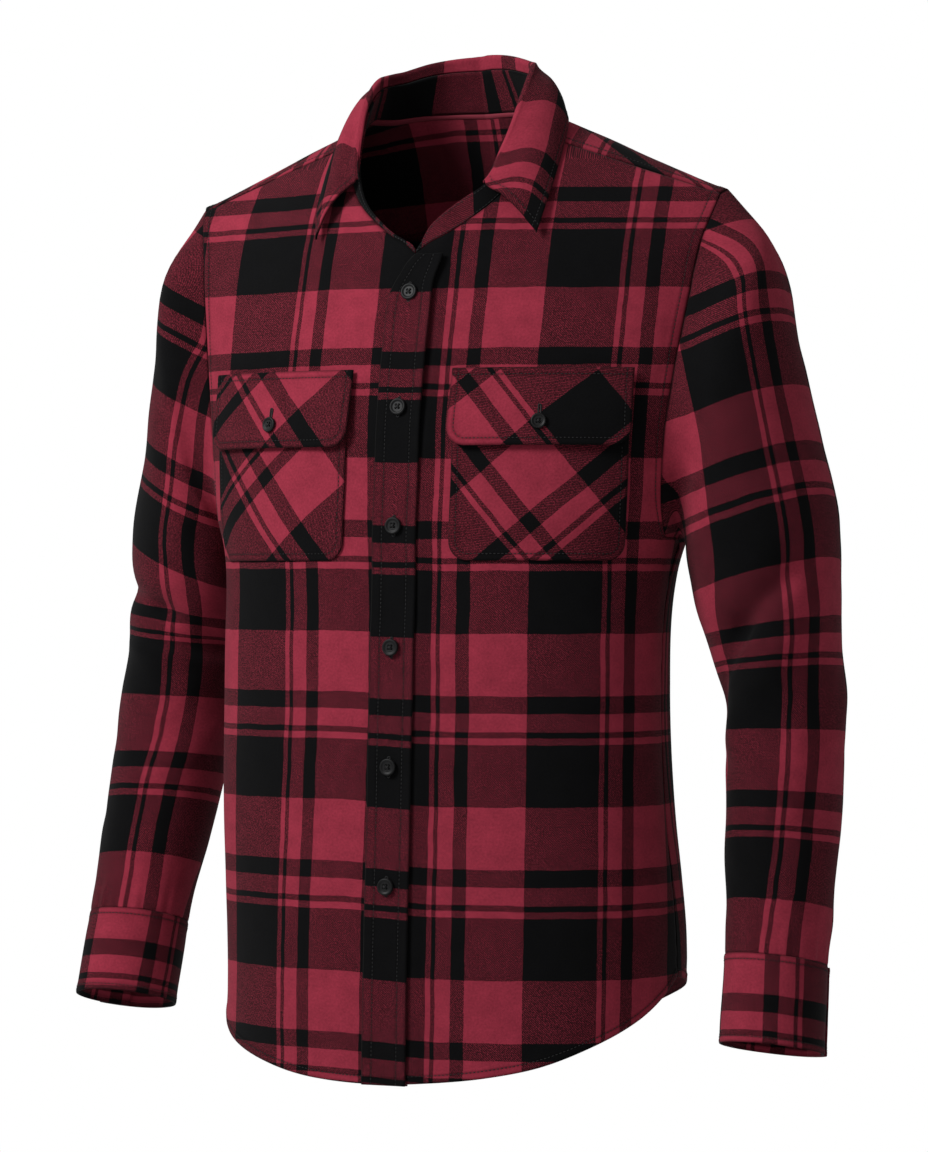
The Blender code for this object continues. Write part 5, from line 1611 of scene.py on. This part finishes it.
# %% Buttonholes
def buttonhole(centre, n, up, length=17.0, wide=1.5):
    """A ribbed ring round a slit: a long oval with a half-round section, rippled by its stitches."""
    up = up - n * np.dot(up, n)
    up /= np.linalg.norm(up)
    side = np.cross(up, n)
    turn = np.linspace(0, 2 * np.pi, 132, endpoint=False)
    flat = np.stack([np.cos(turn), np.sin(turn)], -1)
    path = flat * wide * 0.62
    path[:, 1] += np.sign(flat[:, 1]) * (length / 2 - wide)
    ring = np.linspace(0, 2 * np.pi, 8, endpoint=False)
    ripple = 1 + 0.16 * np.cos(turn * 33)
    a = path[:, None] + flat[:, None] * (np.cos(ring)[None, :, None] * 0.62)
    lift = np.sin(ring)[None, :] * 0.42 * ripple[:, None]
    points = centre + a[..., :1] * side + a[..., 1:] * up + lift[..., None] * n
    ids = np.arange(132 * 8).reshape(132, 8)
    nxt, rnd = np.roll(ids, -1, axis=0), np.roll(ids, -1, axis=1)
    quads = np.stack([ids, nxt, np.roll(nxt, -1, axis=1), rnd], -1).reshape(-1, 4)
    return points.reshape(-1, 3), quads


holes = []
for i, z in enumerate(BUTTON_Z):
    low, n = on_front(1, 0.0, z, placket_lift(z) + 0.05)
    turned_button(f"front_button_{i + 1}", f"button_{i + 1}", n, UP_DIRECTION, *FRONT_BUTTON)
    holes.append(buttonhole(low, n, UP_DIRECTION))
for side, word in SIDES:
    z = FLAP_TOP - (FLAP_TOP - FLAP_BOTTOM) * 0.70
    _, n = on_front(side, POCKET_MIDDLE, z, 0.0)
    turned_button(f"flap_button_{word}_fine", f"flap_button_{word}", n, UP_DIRECTION, *FLAP_BUTTON)
    low, _ = on_front(side, POCKET_MIDDLE, z + 5, flap_lift(POCKET_MIDDLE, z + 5) + 0.1)
    holes.append(buttonhole(low, n, UP_DIRECTION))
    grid, out = SURFACES[f"cuff_{word}"]
    low, high = (np.array(v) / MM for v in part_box(f"cuff_button_{word}"))
    near = np.unravel_index(np.argmin(np.linalg.norm(grid - (low + high) / 2, axis=-1)), grid.shape[:2])
    across = grid[near[0], near[1]] - grid[near[0], near[1] - 3]
    turned_button(f"cuff_button_{word}_fine", f"cuff_button_{word}", out[near], UP_DIRECTION, *CUFF_BUTTON)
    holes.append(buttonhole(grid[near] + out[near] * 0.1, out[near], across))


def joined(shapes):
    """Several meshes as one: each shape's faces are counted on from the points before it."""
    starts = np.cumsum([0] + [len(p) for p, _ in shapes[:-1]])
    faces = [f + start for (_, f), start in zip(shapes, starts)]
    return np.concatenate([p for p, _ in shapes]), np.concatenate(faces)


thread_mesh("button_threads", *joined(CROSSES))
thread_mesh("buttonhole_stitching", *joined(holes))
print("buttons:", len(BUTTONS), "and buttonholes:", len(holes))

# %% [markdown]
# ## Materials
#
# Brushed cotton flannel is a twill whose surface has been raised into a short nap. The nap scatters
# light, so the cloth is matt with a soft sheen at grazing angles, and it blurs the edges of the bands.
# The check comes from bands of red and black warp crossing the same bands of weft: red on red is red,
# black on black is black, and where the two cross, the twill shows both threads at once as a dark
# heather.

# %% Colour and node helpers
def linear(code):
    """A colour written as sRGB hex, turned to the linear values that shaders use."""
    c = np.array([int(code[i:i + 2], 16) for i in (1, 3, 5)]) / 255
    return tuple(np.where(c <= 0.04045, c / 12.92, ((c + 0.055) / 1.055) ** 2.4)) + (1.0,)


def material(name):
    made = bpy.data.materials.new(name)
    made.use_nodes = True
    made.node_tree.nodes.clear()
    return made, made.node_tree


def add(tree, kind, inputs=None, **settings):
    """Add a node, set its own settings, and give each named input a value or a link."""
    node = tree.nodes.new(kind)
    for key, value in settings.items():
        setattr(node, key, value)
    for key, value in (inputs or {}).items():
        if isinstance(value, bpy.types.NodeSocket):
            tree.links.new(value, node.inputs[key])
        else:
            node.inputs[key].default_value = value
    return node


# %% The check
RED, BLACK = "#872A3A", "#080809"
WARP_REPEAT, WEFT_REPEAT = 0.1355, 0.1365
# Widths of the bands as shares of the repeat, from the wearer's right to left, and from the top down.
# Black and red bands take turns, and both lists start with black.
WARP = (0.425, 0.032, 0.027, 0.092, 0.083, 0.341)
WEFT = (0.357, 0.358, 0.1035, 0.107, 0.0345, 0.040)
TWILL = 0.0018  # flannel's twill lines are about 1 mm apart; drawn a little coarser so that they show
RED_SHARE = 0.3  # how much of the red shows where red and black cross
GRAIN = 0.6  # how clearly single threads stand out of the heather; the nap blurs the rest
# Painted shade: the cloth's colour is darkened in seam grooves and at sewn edges, where shade falls.
SEAM_PAINTED_SHADE = 0.62  # how much darker the cloth looks in the groove of a seam or a row of stitches


def bands(tree, position, sett):
    """0 in black bands and 1 in red ones, by the fraction of the repeat."""
    ramp = add(tree, "ShaderNodeValToRGB", {"Fac": position})
    ramp.color_ramp.interpolation = "CONSTANT"
    steps = ramp.color_ramp.elements
    start = 0.0
    for i, share in enumerate(sett):
        step = steps[i] if i < 2 else steps.new(start)
        step.position = start
        step.color = (1, 1, 1, 1) if i % 2 else (0, 0, 0, 1)
        start += share
    return ramp.outputs["Color"]


def brushed_flannel(name, red, black):
    """Two-colour twill: where red crosses black, the twill lines choose which of them shows."""
    made, tree = material(name)
    place = add(tree, "ShaderNodeUVMap", uv_map="cloth").outputs["UV"]

    def math(kind, a, b=0.0, clamp=False):
        return add(tree, "ShaderNodeMath", {0: a, 1: b}, operation=kind, use_clamp=clamp).outputs[0]

    def vector(kind, a, key, b):
        return add(tree, "ShaderNodeVectorMath", {0: a, key: b}, operation=kind).outputs[0]

    def cloud(scale, detail, output="Fac", **more):
        inputs = {"Vector": place, "Scale": scale, "Detail": detail} | more
        return add(tree, "ShaderNodeTexNoise", inputs).outputs[output]

    def shaken(at, scale, reach):
        """Places moved by up to half of `reach` metres, at random."""
        centred = vector("ADD", cloud(scale, 2.0, "Color"), 1, (-0.5, -0.5, -0.5))
        return vector("ADD", at, 1, vector("SCALE", centred, "Scale", reach))

    wavy = shaken(shaken(place, 40.0, 0.002), 1000.0, 0.0009)
    x, y, _ = add(tree, "ShaderNodeSeparateXYZ", {"Vector": wavy}).outputs
    across = math("FRACT", math("DIVIDE", x, WARP_REPEAT))
    down = math("FRACT", math("DIVIDE", y, -WEFT_REPEAT))
    both = math("MULTIPLY", math("ADD", bands(tree, across, WARP), bands(tree, down, WEFT)), 0.5)
    line = math("FRACT", math("DIVIDE", math("ADD", x, y), TWILL))
    thread = math("ADD", line, math("MULTIPLY", math("SUBTRACT", cloud(850.0, 1.0), 0.5), 1.8))
    level = math("MULTIPLY", math("SUBTRACT", thread, 1 - RED_SHARE), 0.45)
    grain = math("ADD", math("MULTIPLY", math("ADD", both, level), 7.0), -3.0, clamp=True)
    blurred = math("MULTIPLY", both, both)
    shows = math("ADD", math("MULTIPLY", grain, GRAIN), math("MULTIPLY", blurred, 1 - GRAIN))
    dye = add(tree, "ShaderNodeMix", {"Factor": shows}, data_type="RGBA")
    dye.inputs[6].default_value = linear(black)
    dye.inputs[7].default_value = linear(red)
    nap = cloud(520.0, 3.0, Roughness=0.6)
    uneven = math("ADD", math("MULTIPLY", nap, 0.6), math("MULTIPLY", cloud(60.0, 2.0), 0.4))
    spread = {"Value": uneven, "From Min": 0.3, "From Max": 0.7, "To Min": 0.74, "To Max": 1.26}
    shade = add(tree, "ShaderNodeMapRange", spread).outputs[0]
    # The seam attribute is painted shade in grooves and at edges; it darkens the cloth's colour here.
    seam = add(tree, "ShaderNodeAttribute", attribute_name="seam").outputs["Fac"]
    shade = math("MULTIPLY", shade, math("SUBTRACT", 1.0, math("MULTIPLY", seam, SEAM_PAINTED_SHADE)))
    shaded = vector("SCALE", dye.outputs[2], "Scale", shade)
    height = math("ADD", math("MULTIPLY", line, 0.4), nap)
    bump = add(tree, "ShaderNodeBump", {"Height": height, "Strength": 0.4, "Distance": 0.0004})
    skin = add(tree, "ShaderNodeBsdfPrincipled", {
        "Base Color": shaded, "Normal": bump.outputs[0], "Roughness": 0.92, "Specular IOR Level": 0.06,
        "Sheen Weight": 0.03, "Sheen Roughness": 0.5,
    })
    add(tree, "ShaderNodeOutputMaterial", {"Surface": skin.outputs[0]})
    return made


FLANNEL = brushed_flannel("brushed_cotton_flannel", RED, BLACK)
print("flannel:", len(FLANNEL.node_tree.nodes), "nodes")


# %% Plain finishes
def plain(name, colour, roughness, **inputs):
    """One colour with a fine unevenness, for pieces too small to show a pattern."""
    made, tree = material(name)
    place = add(tree, "ShaderNodeTexCoord").outputs["Object"]
    grain = add(tree, "ShaderNodeTexNoise", {"Vector": place, "Scale": 1500.0}).outputs["Fac"]
    bump = add(tree, "ShaderNodeBump", {"Height": grain, "Strength": 0.2, "Distance": 0.0001})
    values = {"Base Color": linear(colour), "Roughness": roughness, "Normal": bump.outputs[0]} | inputs
    skin = add(tree, "ShaderNodeBsdfPrincipled", values)
    add(tree, "ShaderNodeOutputMaterial", {"Surface": skin.outputs[0]})
    return made


RESIN = plain("polyester_resin_button", "#09090A", 0.5, IOR=1.3)
THREAD = plain("spun_polyester_thread", "#0D0C0E", 0.8)
BINDING = plain("cotton_neck_tape", "#7E2233", 0.85)

for obj, *_ in PIECES:
    obj.data.materials.append(FLANNEL)
for obj in BUTTONS:
    obj.data.materials.append(RESIN)
for obj in THREADS:
    obj.data.materials.append(THREAD)
TAPE.data.materials.append(BINDING)

# %% [markdown]
# ## What each piece of cloth was cut to
#
# The width and length of cloth and the flat area of each piece were measured when it was made, in `cloth`,
# and are kept in PIECES.

# %% [markdown]
# ## Studio
#
# The shirt hangs at a standing wearer's height over a plain pale floor, in soft even light with a gentle
# key from the viewer's upper left. A long lens keeps the shape true.

# %% Floor, light and camera
FILL = 0.34  # the soft light from all round, as a share of the white backdrop's own brightness
bpy.ops.mesh.primitive_circle_add(vertices=96, radius=4.0, fill_type="NGON", location=(0, 0, -1.45))
floor = bpy.context.object
floor.name = "floor"
floor.data.materials.append(plain("matt_white_floor", "#F4F4F4", 0.9))

world = bpy.data.worlds.new("studio")
bpy.context.scene.world = world
world.use_nodes = True
sky = world.node_tree
sky.nodes.clear()
seen = add(sky, "ShaderNodeLightPath").outputs["Is Camera Ray"]
fill = add(sky, "ShaderNodeBackground", {"Color": (1, 1, 1, 1), "Strength": FILL}).outputs[0]
backdrop = add(sky, "ShaderNodeBackground", {"Color": (1, 1, 1, 1), "Strength": 1.0}).outputs[0]
mixed = add(sky, "ShaderNodeMixShader", {0: seen, 1: fill, 2: backdrop}).outputs[0]
add(sky, "ShaderNodeOutputWorld", {"Surface": mixed})


def soft_box(name, place, aim, size, power):
    lamp = bpy.data.lights.new(name, "AREA")
    lamp.shape, lamp.size, lamp.energy = "SQUARE", size, power
    obj = bpy.data.objects.new(name, lamp)
    bpy.context.scene.collection.objects.link(obj)
    obj.location = place
    obj.rotation_euler = (Vector(aim) - Vector(place)).to_track_quat("-Z", "Y").to_euler()


soft_box("key_light", (-1.1, -1.65, 1.05), (0, 0, -0.35), 0.8, 56.0)

VIEW = np.radians(23.0)
DISTANCE = 3.6
camera = bpy.data.objects.new("camera", bpy.data.cameras.new("camera"))
bpy.context.scene.collection.objects.link(camera)
camera.location = (np.sin(VIEW) * DISTANCE, -np.cos(VIEW) * DISTANCE, EYE_LEVEL * MM)
camera.rotation_euler = (np.pi / 2, 0, VIEW)
camera.data.lens = 139.4
camera.data.sensor_width = 36.0
camera.data.shift_x = 0.0061
camera.data.clip_end = 100
bpy.context.scene.camera = camera
bpy.context.scene.view_settings.view_transform = "Standard"

# %% Finish
bpy.context.view_layer.update()
